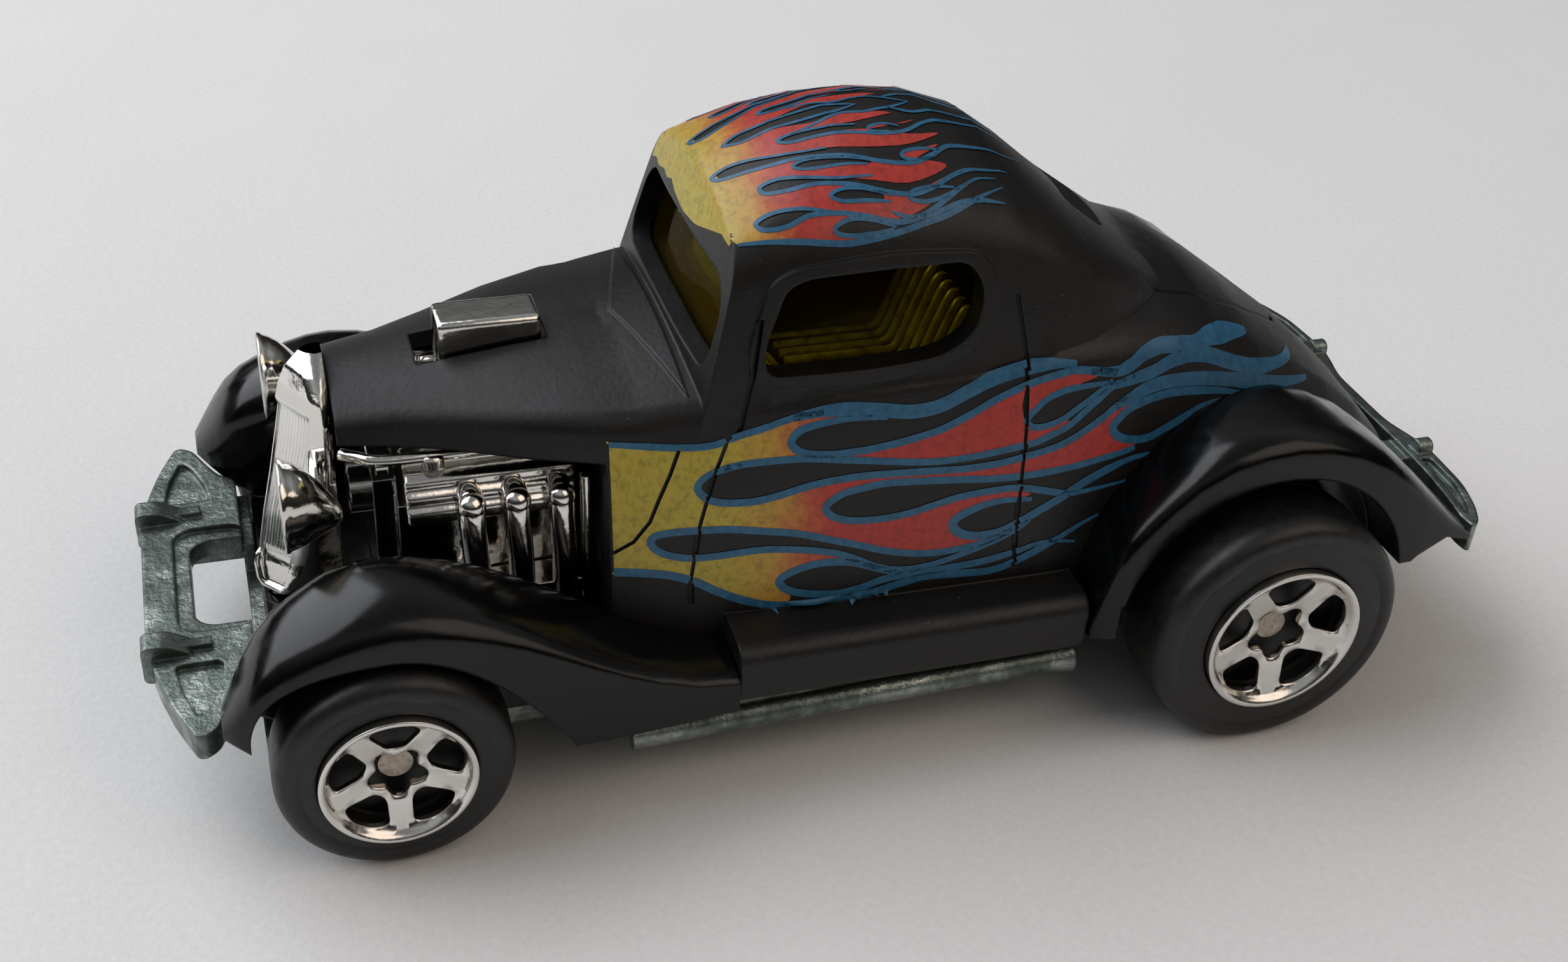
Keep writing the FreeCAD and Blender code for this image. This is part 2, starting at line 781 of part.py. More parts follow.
def front_arch(x):
    """Front wheel opening, flatter than a circle."""
    low = V(x, front_arch_front_y, 0)
    front = V(x, front_arch_front_y, 0.65 * front_arch_top_z)
    top = V(x, front_axle_y, front_arch_top_z)
    rear = V(x, front_arch_rear_y, 0.45 * front_arch_top_z)
    end = V(x, front_arch_rear_y, 0)
    corner_front = V(x, front_arch_front_y, front_arch_top_z)
    corner_rear = V(x, 0.5 * (front_axle_y + front_arch_rear_y), front_arch_top_z)
    edges = [
        line(low, front),
        bezier([front, corner_front, top]),
        bezier([top, corner_rear, rear]),
        line(rear, end),
        line(end, low),
    ]
    return Part.Face(Part.Wire(edges)).extrude(V(tub_half_width, 0, 0))


def fender_moulding():
    """Glossy moulding: four fenders on one pan, with an apron below the grille."""
    front_well_x = front_tyre_face_x - front_tyre_width - wheel_well_gap
    rear_well_x = rear_tyre_face_x - rear_tyre_width - wheel_well_gap
    pan_front_y = front_bumper_y + pan_front_margin
    pan_rear_y = rear_bumper_y - pan_rear_margin
    front_end_y = board_front_y - fit_gap
    rear_start_y = board_rear_y + fit_gap
    front = fender(front_fender_nose_y, front_end_y, front_fender_shares, front_fender_face_x, front_fender_top_z)
    front = front.cut(front_arch(front_well_x))
    rear = fender(rear_start_y, rear_fender_tail_y, rear_fender_shares, rear_fender_face_x, rear_fender_top_z)
    axle_point = V(rear_well_x, rear_axle_y, rear_tyre_radius)
    well = rod(rear_arch_radius, axle_point, axle_point + V(tub_half_width, 0, 0))
    below = box(rear_well_x, reach, rear_axle_y - rear_arch_radius, rear_arch_rear_y, 0, rear_arch_cut_z)
    rear = rear.cut([well, below])
    pan = box(-pan_half_width, pan_half_width, pan_front_y, pan_rear_y, pan_low_z, tub_foot_z)
    front_pan = box(-pan_wide_half_width, pan_wide_half_width, pan_front_y, front_end_y, pan_low_z, tub_foot_z)
    rear_pan = box(-pan_wide_half_width, pan_wide_half_width, rear_start_y, pan_rear_y, pan_low_z, tub_foot_z)
    moulding = pan.fuse([front_pan, rear_pan, front, mirror_x(front), rear, mirror_x(rear)])
    moulding = moulding.cut(skin([arch_section(station) for station in tub_stations]))
    for y in (front_post_y, rear_post_y):
        moulding = moulding.cut(rod(post_radius + fit_gap, V(0, y, 0), V(0, y, tub_half_width)))
    bosses = []
    for y, z in ((front_axle_y, front_tyre_radius), (rear_axle_y, rear_tyre_radius)):
        start_y = y - boss_half_length
        end_y = y + boss_half_length
        bosses.append(box(-boss_half_width, boss_half_width, start_y, end_y, pan_low_z, z + boss_cover))
    moulding = moulding.fuse(bosses)
    channels = [axle_channel(front_axle_y, front_tyre_radius), axle_channel(rear_axle_y, rear_tyre_radius)]
    return moulding.cut(channels)


# Bumper outlines from above: shares of the half width, and of the depth behind the foremost line
front_bumper_shares = (
    (0.0, 0.05), (0.4, 0.04), (0.6, 0.12), (0.8, 0.25), (0.93, 0.37), (1.0, 0.44),
    (0.96, 0.6), (0.84, 0.72), (0.74, 0.84), (0.69, 1.0), (0.28, 1.0),
)
rear_bumper_shares = (
    (0.0, 0.27), (0.2, 0.25), (0.33, 0.08), (0.42, 0.0), (0.5, 0.0), (0.72, 0.06), (0.88, 0.28),
    (0.97, 0.5), (1.0, 0.68), (0.92, 0.73), (0.8, 0.62), (0.62, 0.52), (0.4, 0.46), (0.0, 0.46),
)
rear_recess_shares = (
    (0.5, 0.14), (0.7, 0.18), (0.85, 0.38), (0.93, 0.6), (0.8, 0.49), (0.63, 0.39), (0.5, 0.36),
)
wing_recess_shares = ((0.55, 0.28), (0.72, 0.34), (0.88, 0.47), (0.82, 0.58), (0.66, 0.7), (0.55, 0.72))


def plan_points(rows, half_width, edge_y, depth, z):
    """Outline points of one half, seen from above."""
    return [V(share_x * half_width, edge_y + share_y * depth, z) for share_x, share_y in rows]


def front_bumper(depth):
    """Swept bar with wings, pads and spines, round an open window."""
    rise = V(0, 0, front_bumper_top_z - front_bumper_low_z)
    half = plan_points(front_bumper_shares, front_bumper_half_width, front_bumper_y, depth, front_bumper_low_z)
    plate = soft_prism(half[1:] + mirrored(half[1:]), bumper_corner, rise)
    window_end_y = front_bumper_y + depth + overrun
    window = [
        V(front_window_half_width, window_end_y, 0),
        V(front_window_half_width, front_window_y, 0),
        V(-front_window_half_width, front_window_y, 0),
        V(-front_window_half_width, window_end_y, 0),
    ]
    plate = plate.cut(soft_prism(window, bumper_corner + bumper_recess, V(0, 0, reach)))
    ledge_z = front_bumper_top_z - bumper_recess
    ledge = [V(1.22 * p.x, p.y - bumper_corner, ledge_z) for p in window]
    plate = plate.cut(soft_prism(ledge, bumper_corner + bumper_recess, V(0, 0, reach)))
    recess = plan_points(wing_recess_shares, front_bumper_half_width, front_bumper_y, depth, ledge_z)
    recess_tool = soft_prism(recess, bumper_corner / 2, V(0, 0, reach))
    plate = plate.cut([recess_tool, mirror_x(recess_tool)])
    pad_top_z = front_bumper_top_z + pad_rise
    pad_points = [
        V(0, front_bumper_y, front_bumper_low_z),
        V(0, front_bumper_y, pad_top_z),
        V(0, front_bumper_y + pad_width, pad_top_z),
        V(0, front_bumper_y + 2 * pad_width, front_bumper_top_z),
        V(0, front_bumper_y + 2 * pad_width, front_bumper_low_z),
    ]
    pad = soft_prism(pad_points, bumper_recess, V(pad_width, 0, 0))
    pad.translate(V(front_pad_x - pad_width / 2, 0, 0))
    spine = box(
        front_pad_x - front_spine_width / 2,
        front_pad_x + front_spine_width / 2,
        front_bumper_y + pad_width,
        front_bumper_y + front_spine_length,
        front_bumper_low_z,
        front_bumper_top_z + bumper_recess,
    )
    arm = box(
        front_arm_inner_x,
        front_arm_outer_x,
        front_window_y,
        front_bumper_y + pan_front_margin - fit_gap,
        base_low_z,
        front_bumper_low_z + bumper_recess,
    )
    return plate.fuse([both_sides(pad), both_sides(spine), both_sides(arm)])


def rear_bumper():
    """Curved bar with a dished top and two horns, carried by two arms."""
    depth = -0.5 * pan_rear_margin
    rise = V(0, 0, rear_bumper_top_z - rear_bumper_low_z)
    half = plan_points(rear_bumper_shares, rear_bumper_half_width, rear_bumper_y, depth, rear_bumper_low_z)
    plate = soft_prism(half[1:-1] + mirrored(half[1:-1]), bumper_corner, rise)
    dish_z = rear_bumper_top_z - bumper_recess
    dish = plan_points(rear_recess_shares, rear_bumper_half_width, rear_bumper_y, depth, dish_z)
    dish_tool = soft_prism(dish, bumper_corner / 2, V(0, 0, reach))
    plate = plate.cut([dish_tool, mirror_x(dish_tool)])
    horn_points = [
        V(horn_x - horn_width / 2, rear_bumper_y - horn_length, rear_bumper_low_z),
        V(horn_x + horn_width / 2, rear_bumper_y - horn_length, rear_bumper_low_z),
        V(horn_x + horn_width / 2, rear_bumper_y - horn_length, rear_bumper_top_z + horn_rise),
        V(horn_x - horn_width / 2, rear_bumper_y - horn_length, rear_bumper_top_z + horn_rise),
    ]
    horn = soft_prism(horn_points, horn_width / 2, V(0, horn_length, 0))
    arm = box(
        rear_arm_inner_x,
        rear_arm_outer_x,
        rear_bumper_y - pan_rear_margin + fit_gap,
        rear_bumper_y + 0.2 * depth,
        base_low_z,
        rear_bumper_top_z - bumper_recess,
    )
    return plate.fuse([both_sides(horn), both_sides(arm)])


def side_pipe():
    """Exhaust pipe with a flared end on a low web."""
    start = V(pipe_x, pipe_front_y, pipe_front_z)
    end = V(pipe_x, pipe_rear_y, pipe_rear_z)
    flare_start = start + (end - start) * (1 - pipe_flare_length / (end - start).Length)
    flare = Part.makeCone(pipe_radius, pipe_radius + pipe_flare, pipe_flare_length, flare_start, end - start)
    web = box(
        base_half_width - fit_gap,
        pipe_x,
        pipe_front_y + overrun,
        pipe_rear_y - overrun,
        pipe_web_low_z,
        pipe_web_top_z,
    )
    return rod(pipe_radius, start, flare_start).fuse([flare, web])


def chassis_base():
    """Zinc base with pockets below, side pipes and both bumpers."""
    base_front_y = front_bumper_y + base_margin
    base_rear_y = rear_bumper_y - base_margin
    plate = box(-base_half_width, base_half_width, base_front_y, base_rear_y, base_low_z, pan_low_z)
    pockets = []
    for front_y, rear_y in (
        (front_axle_y + 2 * hub_radius, front_post_y - 2 * post_radius),
        (front_post_y + 2 * post_radius, rear_axle_y - 2 * hub_radius),
    ):
        outline = [
            V(pocket_inner_x, front_y, 0),
            V(pocket_outer_x, front_y, 0),
            V(pocket_outer_x, rear_y, 0),
            V(pocket_inner_x, rear_y, 0),
        ]
        pocket = soft_prism(outline, pocket_corner, V(0, 0, base_low_z + pocket_depth))
        pockets.extend([pocket, mirror_x(pocket)])
    plate = plate.cut(pockets)
    rib = box(
        -axle_rib_half_width,
        axle_rib_half_width,
        rear_axle_y - axle_radius,
        rear_axle_y + axle_radius,
        base_low_z,
        rear_tyre_radius,
    )
    base = plate.fuse([both_sides(side_pipe()), front_bumper(base_margin), rear_bumper(), rib])
    for y, z in ((front_axle_y, front_tyre_radius), (rear_axle_y, rear_tyre_radius)):
        base = base.cut(rod(axle_radius + fit_gap, V(-tub_half_width, y, z), V(tub_half_width, y, z)))
    base = base.cut(skin([arch_section(station) for station in tub_stations]))
    for y in (front_post_y, rear_post_y):
        hole = rod(rivet_radius + fit_gap / 2, V(0, y, 0), V(0, y, tub_half_width))
        seat = rod(rivet_head_radius + fit_gap, V(0, y, 0), V(0, y, base_low_z + rivet_head_height))
        base = base.cut([hole, seat])
    return base


def stack(levels):
    """Solid through plan outlines at rising heights, with flat sides between them."""
    wires = []
    for z, outline in levels:
        points = [V(x, y, z) for x, y in outline]
        wires.append(Part.makePolygon(points + [points[0]]))
    return Part.makeLoft(wires, True, True)


# Grille shell, foot to peak: shares of height, half width, and how far ridge, side and back lie to the rear
grille_shares = (
    (0.0, 0.45, 0.0, 0.2, 0.54),
    (0.21, 0.58, 0.04, 0.28, 0.6),
    (0.46, 0.75, 0.18, 0.48, 0.74),
    (0.68, 0.92, 0.33, 0.68, 0.88),
    (0.845, 1.0, 0.43, 0.81, 0.96),
    (0.93, 0.76, 0.61, 0.85, 0.985),
    (1.0, 0.2, 0.84, 0.93, 1.0),
)


def grille_level(row):
    """Height, half width, ridge, side and back of the shell in millimetres."""
    depth = grille_back_y - grille_front_y
    z = grille_foot_z + row[0] * (grille_peak_z - grille_foot_z)
    half = row[1] * grille_half_width
    ridge, side, back = [grille_front_y + share * depth for share in row[2:]]
    return z, half, ridge, side, back


def grille_at(z):
    """Half width, ridge and side of the shell at one height."""
    levels = [grille_level(row) for row in grille_shares]
    for low, high in zip(levels, levels[1:]):
        if low[0] <= z <= high[0]:
            share = (z - low[0]) / (high[0] - low[0])
            return [a + share * (b - a) for a, b in zip(low[1:4], high[1:4])]
    return levels[-1][1:4]


def grille_shell():
    """Raked vee-shaped shell with upright ribs in a sunken panel."""
    levels = []
    for row in grille_shares:
        z, half, ridge, side, back = grille_level(row)
        levels.append((z, [(-half, back), (-half, side), (0, ridge), (half, side), (half, back)]))
    shell = stack(levels)
    heights = along(grille_panel_low_z, grille_panel_top_z, rib_height_shares)
    panel = []
    for z in heights:
        half, ridge, side = grille_at(z)
        x = half - 1.3 * grille_recess
        side_y = ridge + (side - ridge) * x / half + grille_recess
        front_y = ridge - overrun
        panel.append((z, [(-x, side_y), (0, ridge + grille_recess), (x, side_y), (x, front_y), (-x, front_y)]))
    shell = shell.cut(stack(panel))
    ribs = []
    for number in range(rib_count):
        share = 2.0 * (number + 0.5) / rib_count - 1.0
        blade_levels = []
        for z in heights:
            half, ridge, side = grille_at(z)
            x = share * (half - 1.3 * grille_recess)
            y = ridge + (side - ridge) * abs(x) / half
            w = rib_width / 2
            tip_y = y + grille_recess / 4
            root_y = y + 2 * grille_recess
            blade_levels.append((z, [(x - w, root_y), (x - w, tip_y), (x + w, tip_y), (x + w, root_y)]))
        ribs.append(stack(blade_levels))
    return shell.fuse(ribs)


# Lamp outline from the front: shares of the half width and half height, from the foot up the outer side
lamp_shares = (
    (0.0, -1.0), (0.7, -0.55), (1.0, 0.1), (0.92, 0.62), (0.5, 0.98),
    (-0.5, 0.98), (-0.92, 0.62), (-1.0, 0.1), (-0.7, -0.55),
)
# Sections of the lamp: shares of its length, of its outline, and its drop as a share of its half height
lamp_section_shares = ((0.0, 1.0, 0.0), (0.3, 0.86, 0.02), (0.65, 0.56, 0.08), (1.0, 0.14, 0.3))


def headlamp():
    """Pointed shell with a shield-shaped, sunken lens, on a stem."""
    wires = []
    for share_y, share, drop in lamp_section_shares:
        centre = V(lamp_x, lamp_front_y + share_y * lamp_length, lamp_z - drop * lamp_half_height)
        points = []
        for share_x, share_z in lamp_shares:
            points.append(centre + V(share * share_x * lamp_half_width, 0, share * share_z * lamp_half_height))
        wires.append(Part.makePolygon(points + [points[0]]))
    shell = Part.makeLoft(wires, True, True)
    lens = []
    for share_x, share_z in lamp_shares:
        x = share_x * (lamp_half_width - lamp_rim)
        lens.append(V(lamp_x + x, lamp_front_y - overrun, lamp_z + share_z * (lamp_half_height - lamp_rim)))
    shell = shell.cut(prism(lens, V(0, overrun + lamp_rim, 0)))
    stem_y = lamp_front_y + 0.6 * lamp_length
    stem = rod(lamp_stem_radius, V(0.6 * grille_half_width, stem_y, lamp_z), V(lamp_x, stem_y, lamp_z))
    return shell.fuse(stem)


def grille_and_headlamps():
    """Grille shell with its rounded foot, carrying a lamp on each side."""
    foot_start = V(0, foot_pad_y, foot_pad_z)
    foot = rod(foot_pad_radius, foot_start, V(0, grille_front_y + 2 * overrun, foot_pad_z))
    dent = rod(foot_pad_radius - grille_recess, foot_start - V(0, overrun, 0), foot_start + V(0, grille_recess, 0))
    return grille_shell().fuse([foot.cut(dent), both_sides(headlamp())])


def turned(outline, point, axis):
    """Body of revolution about an axis from its half section (place along it, radius)."""
    side = axis.cross(V(0, 1, 0))
    side.normalize()
    points = [point + axis * place + side * radius for place, radius in outline]
    wire = Part.makePolygon(points + [points[0]])
    return Part.Face(wire).revolve(point, axis, 360)


def header(y):
    """Exhaust header: rounded top, straight pipe and an arm into the head."""
    height = header_top_z - header_low_z
    outline = [
        (0.0, 0.0),
        (0.0, header_radius),
        (height - 0.8 * header_radius, header_radius),
        (height, 0.4 * header_radius),
        (height, 0.0),
    ]
    pipe = turned(outline, V(header_x, y, header_low_z), V(0, 0, 1))
    arm = box(
        cover_inner_x + cover_edge,
        header_x,
        y - header_arm_radius,
        y + header_arm_radius,
        header_arm_z - header_arm_radius,
        header_arm_z + header_arm_radius,
    )
    return pipe.fuse(arm)


def engine():
    """Open engine: block, valve covers, rails, headers and the fan housing in front."""
    block = box(0, block_half_width, engine_front_y, engine_rear_y, tub_foot_z, block_top_z)
    cover_front = engine_front_y + radiator_length / 3
    cover = [
        V(cover_inner_x, cover_front, cover_low_z),
        V(cover_outer_x, cover_front, cover_low_z),
        V(cover_outer_x, cover_front, cover_top_z - 1.5 * cover_edge),
        V(cover_outer_x - 1.4 * cover_edge, cover_front, cover_top_z),
        V(cover_inner_x, cover_front, cover_top_z),
    ]
    parts = [block, prism(cover, V(0, engine_rear_y - cover_front, 0))]
    radiator_foot_z = front_tyre_radius + boss_cover + fit_gap
    parts.append(
        box(0, radiator_half_width, engine_front_y - radiator_length, engine_front_y, radiator_foot_z, block_top_z)
    )
    hub = V(0, engine_front_y - 2 * radiator_length, 0.8 * block_top_z)
    parts.append(rod(belt_drive_radius, hub, hub + V(0, 1.2 * radiator_length, 0)))
    for number in range(header_count):
        parts.append(header(first_header_y + number * header_pitch))
    rear_pipe_foot = V(header_x, rear_pipe_y, header_low_z)
    parts.append(rod(rear_pipe_radius, rear_pipe_foot, rear_pipe_foot + V(0, 0, rear_pipe_top_z - header_low_z)))
    low_z = header_low_z
    top_z = header_low_z + collector_height
    parts.append(box(cover_inner_x, header_x, engine_rear_y - fit_gap, rear_pipe_y, low_z, top_z))
    parts.append(box(block_half_width - fit_gap, header_x, first_header_y, rear_pipe_y, low_z, top_z))
    joint = V(rail_x, cover_front, rail_z)
    parts.append(rod(rail_radius, V(radiator_half_width, rail_front_y, rail_z), joint + V(0, rail_radius, 0)))
    parts.append(rod(rail_radius, joint, V(rail_x, engine_rear_y, rail_z)))
    parts.append(rod(fitting_radius, V(rail_x, fitting_y, cover_low_z), V(rail_x, fitting_y, rail_z + rail_radius)))
    side = parts[0].fuse(parts[1:])
    return side.fuse(mirror_x(side))


def hood_scoop():
    """Air scoop that stands on the engine and passes through the hood."""
    outline = [
        V(-scoop_half_width, scoop_front_y, scoop_low_z),
        V(scoop_half_width, scoop_front_y, scoop_low_z),
        V(scoop_half_width, scoop_front_y, scoop_top_z - scoop_edge),
        V(scoop_half_width - scoop_edge, scoop_front_y, scoop_top_z),
        V(-scoop_half_width + scoop_edge, scoop_front_y, scoop_top_z),
        V(-scoop_half_width, scoop_front_y, scoop_top_z - scoop_edge),
    ]
    body = prism(outline, V(0, scoop_rear_y - scoop_front_y, 0))
    mouth = box(
        -scoop_half_width + scoop_edge,
        scoop_half_width - scoop_edge,
        scoop_front_y - overrun,
        scoop_front_y + scoop_edge,
        scoop_top_z - 4 * scoop_edge,
        scoop_top_z - scoop_edge,
    )
    return body.cut(mouth)


def glazing():
    """Tinted clear moulding that lines the cab behind every window."""
    lining = roof_wall + lining_gap
    outer = inner_greenhouse(roof_stations[:-1], lining, lining, glass_low_z)
    inner = inner_greenhouse(roof_stations[:-1], lining + glass_thickness, lining + glass_thickness)
    return outer.cut(inner)


# One flute of the upholstery: shares of its pitch and of its depth
flute_shares = ((0.02, 0.0), (0.25, 0.8), (0.5, 1.0), (0.75, 0.8), (0.98, 0.0))


def fluted(half_width, base, flute, axis):
    """Upholstery: a row of rounded flutes above a base, extruded along an axis."""
    points = [V(-half_width, 0, 0) + base]
    pitch = 2.0 * half_width / flute_count
    for number in range(flute_count):
        x = -half_width + number * pitch
        for share_x, share_rise in flute_shares:
            points.append(V(x + share_x * pitch, 0, 0) + flute * share_rise)
    points.append(V(half_width, 0, 0) + base)
    return prism(points, axis)


def interior():
    """Floor, dashboard and fluted bench in one moulding."""
    floor = box(-floor_half_width, floor_half_width, floor_front_y, floor_rear_y, tub_foot_z, floor_top_z)
    dash = box(-dash_half_width, dash_half_width, floor_front_y, floor_front_y + dash_length, tub_foot_z, dash_top_z)
    cushion_base = V(0, 0, tub_foot_z - bench_top_z + flute_depth)
    cushion_length = V(0, back_rear_y - bench_front_y, 0)
    cushion = fluted(bench_half_width, cushion_base, V(0, 0, flute_depth), cushion_length)
    cushion.translate(V(0, bench_front_y, bench_top_z - flute_depth))
    lean = V(0, back_lean, back_top_z - bench_top_z)
    back_base = V(0, back_rear_y - back_front_y, 0)
    back = fluted(bench_half_width - flute_depth, back_base, V(0, -flute_depth, 0), lean)
    back.translate(V(0, back_front_y + flute_depth, bench_top_z - flute_depth))
    back = back.common(box(-reach, reach, -reach, back_rear_y, 0, reach))
    axis = steering_axis()
    top = V(wheel_x, wheel_y, wheel_z) - axis * wheel_rim_thickness
    column = rod(column_radius, top - axis * column_length, top)
    return floor.fuse([dash, cushion, back, column])


def steering_axis():
    """Unit vector from the dashboard up to the driver."""
    angle = math.radians(wheel_tilt)
    return V(0, math.sin(angle), math.cos(angle))


def steering_wheel():
    """Thin rim on a hub with two spokes."""
    centre = V(wheel_x, wheel_y, wheel_z)
    axis = steering_axis()
    ring = []
    for number in range(wheel_rim_sides):
        angle = 2 * math.pi * number / wheel_rim_sides
        along_axis = wheel_rim_thickness * math.cos(angle)
        ring.append((along_axis, wheel_rim_radius + wheel_rim_thickness * math.sin(angle)))
    rim = turned(ring, centre, axis)
    hub = rod(wheel_hub_radius, centre - axis * wheel_rim_thickness, centre + axis * wheel_rim_thickness)
    spoke = rod(wheel_rim_thickness / 2, centre - V(wheel_rim_radius, 0, 0), centre + V(wheel_rim_radius, 0, 0))
    return rim.fuse([hub, spoke])


def rim_back_x(face_x):
    """Plane where the bright face plate lies on the black wheel."""
    return face_x + rim_proud - rim_dish - rim_plate


def hub_floor_x(face_x):
    """Bottom of the recess in the hub, where the axle head turns."""
    return rim_back_x(face_x) - hub_recess_depth


def axle(y, z, face_x):
    """Steel pin with an upset head in the recess of each hub."""
    out_x = hub_floor_x(face_x) + axle_running_gap
    pin = rod(axle_radius, V(-out_x, y, z), V(out_x, y, z))
    head = rod(axle_head_radius, V(out_x, y, z), V(out_x + axle_head_length, y, z))
    return pin.fuse([head, mirror_x(head)])


def wheel(y, radius, width, face_x, rim_radius):
    """Black moulded tyre and hub, open at the back."""
    inner_x = face_x - width
    back_x = rim_back_x(face_x)
    floor_x = hub_floor_x(face_x)
    web_x = floor_x - wheel_web / 2
    bore = axle_radius + axle_running_gap
    outline = [
        (inner_x, bore),
        (floor_x, bore),
        (floor_x, hub_recess_radius),
        (back_x, hub_recess_radius),
        (back_x, rim_radius),
        (face_x, rim_radius),
        (face_x, radius - tyre_shoulder),
        (face_x - tyre_shoulder, radius),
        (inner_x, radius),
        (inner_x, radius - wheel_back_wall),
        (web_x, radius - wheel_back_wall),
        (web_x, hub_radius),
        (inner_x, hub_radius),
    ]
    return turned(outline, V(0, y, radius), X_AXIS)


# Window of the rim face, as shares of the rim's radius and angles from its middle line
rim_window_shares = ((0.44, -0.11), (0.86, -0.39), (0.885, 0.0), (0.86, 0.39), (0.44, 0.11))
star_tip_share = 0.4
star_root_share = 0.27
star_tip_angle = 0.15
rim_corner_share = 0.09


def polar(x, y, z, radius, angle):
    """Point at a radius and angle about a wheel's axis."""
    return V(x, y + radius * math.cos(angle), z + radius * math.sin(angle))


def rim_face(y, z, face_x, rim_radius):
    """Dished bright face plate with five windows round a star recess."""
    top_x = face_x + rim_proud
    back_x = rim_back_x(face_x)
    dish_x = top_x - rim_dish
    inner = 0.5 * star_root_share * rim_radius
    outline = [
        (back_x, inner),
        (dish_x, inner),
        (dish_x, star_tip_share * rim_radius),
        (top_x - rim_lip_height, rim_radius - rim_lip_width),
        (top_x, rim_radius - rim_lip_width),
        (top_x, rim_radius - rim_lip_height),
        (top_x - rim_lip_height, rim_radius),
        (back_x, rim_radius),
    ]
    plate = turned(outline, V(0, y, z), X_AXIS)
    corner = rim_corner_share * rim_radius
    depth = V(2 * (rim_dish + rim_plate), 0, 0)
    start_x = back_x - rim_dish
    turn = 2.0 * math.pi / spoke_count
    cutters = []
    star = []
    for number in range(spoke_count):
        middle = turn * (number + 0.5) - math.pi / 2
        points = [polar(start_x, y, z, share * rim_radius, middle + angle) for share, angle in rim_window_shares]
        cutters.append(soft_prism(points, corner, depth))
        tip = turn * number - math.pi / 2
        star.append(polar(start_x, y, z, star_tip_share * rim_radius, tip - star_tip_angle))
        star.append(polar(start_x, y, z, star_tip_share * rim_radius, tip + star_tip_angle))
        star.append(polar(start_x, y, z, star_root_share * rim_radius, tip + 0.5 * turn))
    cutters.append(soft_prism(star, corner, depth))
    return plate.cut(cutters)


def build():
    """All sub-parts by name."""
    shapes = {
        "body_shell": body_shell(),
        "fender_moulding": fender_moulding(),
        "chassis_base": chassis_base(),
        "grille_and_headlamps": grille_and_headlamps(),
        "engine": engine(),
        "hood_scoop": hood_scoop(),
        "glazing": glazing(),
        "interior": interior(),
        "steering_wheel": steering_wheel(),
        "front_axle": axle(front_axle_y, front_tyre_radius, front_tyre_face_x),
        "rear_axle": axle(rear_axle_y, rear_tyre_radius, rear_tyre_face_x),
    }
    front = wheel(front_axle_y, front_tyre_radius, front_tyre_width, front_tyre_face_x, front_rim_radius)
    rear = wheel(rear_axle_y, rear_tyre_radius, rear_tyre_width, rear_tyre_face_x, rear_rim_radius)
    front_face = rim_face(front_axle_y, front_tyre_radius, front_tyre_face_x, front_rim_radius)
    rear_face = rim_face(rear_axle_y, rear_tyre_radius, rear_tyre_face_x, rear_rim_radius)
    for end, tyre, face in (("front", front, front_face), ("rear", rear, rear_face)):
        shapes["wheel_" + end + "_left"] = tyre
        shapes["wheel_" + end + "_right"] = mirror_x(tyre)
        shapes["rim_face_" + end + "_left"] = face
        shapes["rim_face_" + end + "_right"] = mirror_x(face)
    return shapes


os.makedirs("parts", exist_ok=True)
for name, shape in build().items():
    save(name, shape)
    print(name, shape.isValid(), len(shape.Solids), round(shape.Volume, 1))
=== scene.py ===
import bmesh
import bpy
import json
import math
from collections import namedtuple
from mathutils import Matrix, Vector, geometry
from mathutils.bvhtree import BVHTree

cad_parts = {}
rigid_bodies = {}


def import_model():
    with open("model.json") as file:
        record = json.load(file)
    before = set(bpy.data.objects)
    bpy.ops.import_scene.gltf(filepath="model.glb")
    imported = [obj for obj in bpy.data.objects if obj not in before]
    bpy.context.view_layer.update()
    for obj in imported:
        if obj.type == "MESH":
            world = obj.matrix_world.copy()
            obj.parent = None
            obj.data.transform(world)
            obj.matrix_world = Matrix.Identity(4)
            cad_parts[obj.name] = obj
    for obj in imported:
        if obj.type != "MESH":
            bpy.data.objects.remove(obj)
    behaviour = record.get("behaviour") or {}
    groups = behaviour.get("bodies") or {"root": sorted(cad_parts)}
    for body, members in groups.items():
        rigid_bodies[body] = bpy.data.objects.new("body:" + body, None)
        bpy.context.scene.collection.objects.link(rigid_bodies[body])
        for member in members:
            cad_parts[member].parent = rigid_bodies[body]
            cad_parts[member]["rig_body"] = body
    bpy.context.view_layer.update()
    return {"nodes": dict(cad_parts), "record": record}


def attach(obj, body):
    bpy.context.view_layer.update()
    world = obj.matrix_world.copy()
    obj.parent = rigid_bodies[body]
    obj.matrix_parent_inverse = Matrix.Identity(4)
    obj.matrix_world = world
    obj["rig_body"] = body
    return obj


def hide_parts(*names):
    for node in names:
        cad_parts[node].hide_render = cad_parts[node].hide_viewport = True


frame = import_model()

# Die-cast toy hot rod on a sheet of white paper. Metres, in the frame of the solids:
# the nose points to -Y, the car's left side is +X, the floor is z = 0.

MM = 0.001
nodes = frame["nodes"]


def linear(hex_code):
    """A colour as it is seen on screen, turned to the linear values that shaders use."""
    parts = [int(hex_code[i:i + 2], 16) / 255 for i in (1, 3, 5)]
    return tuple(p / 12.92 if p <= 0.04045 else ((p + 0.055) / 1.055) ** 2.4 for p in parts) + (1.0,)


def grey(value):
    """A plain value as the colour of a ramp's stop."""
    return (value, value, value, 1.0)


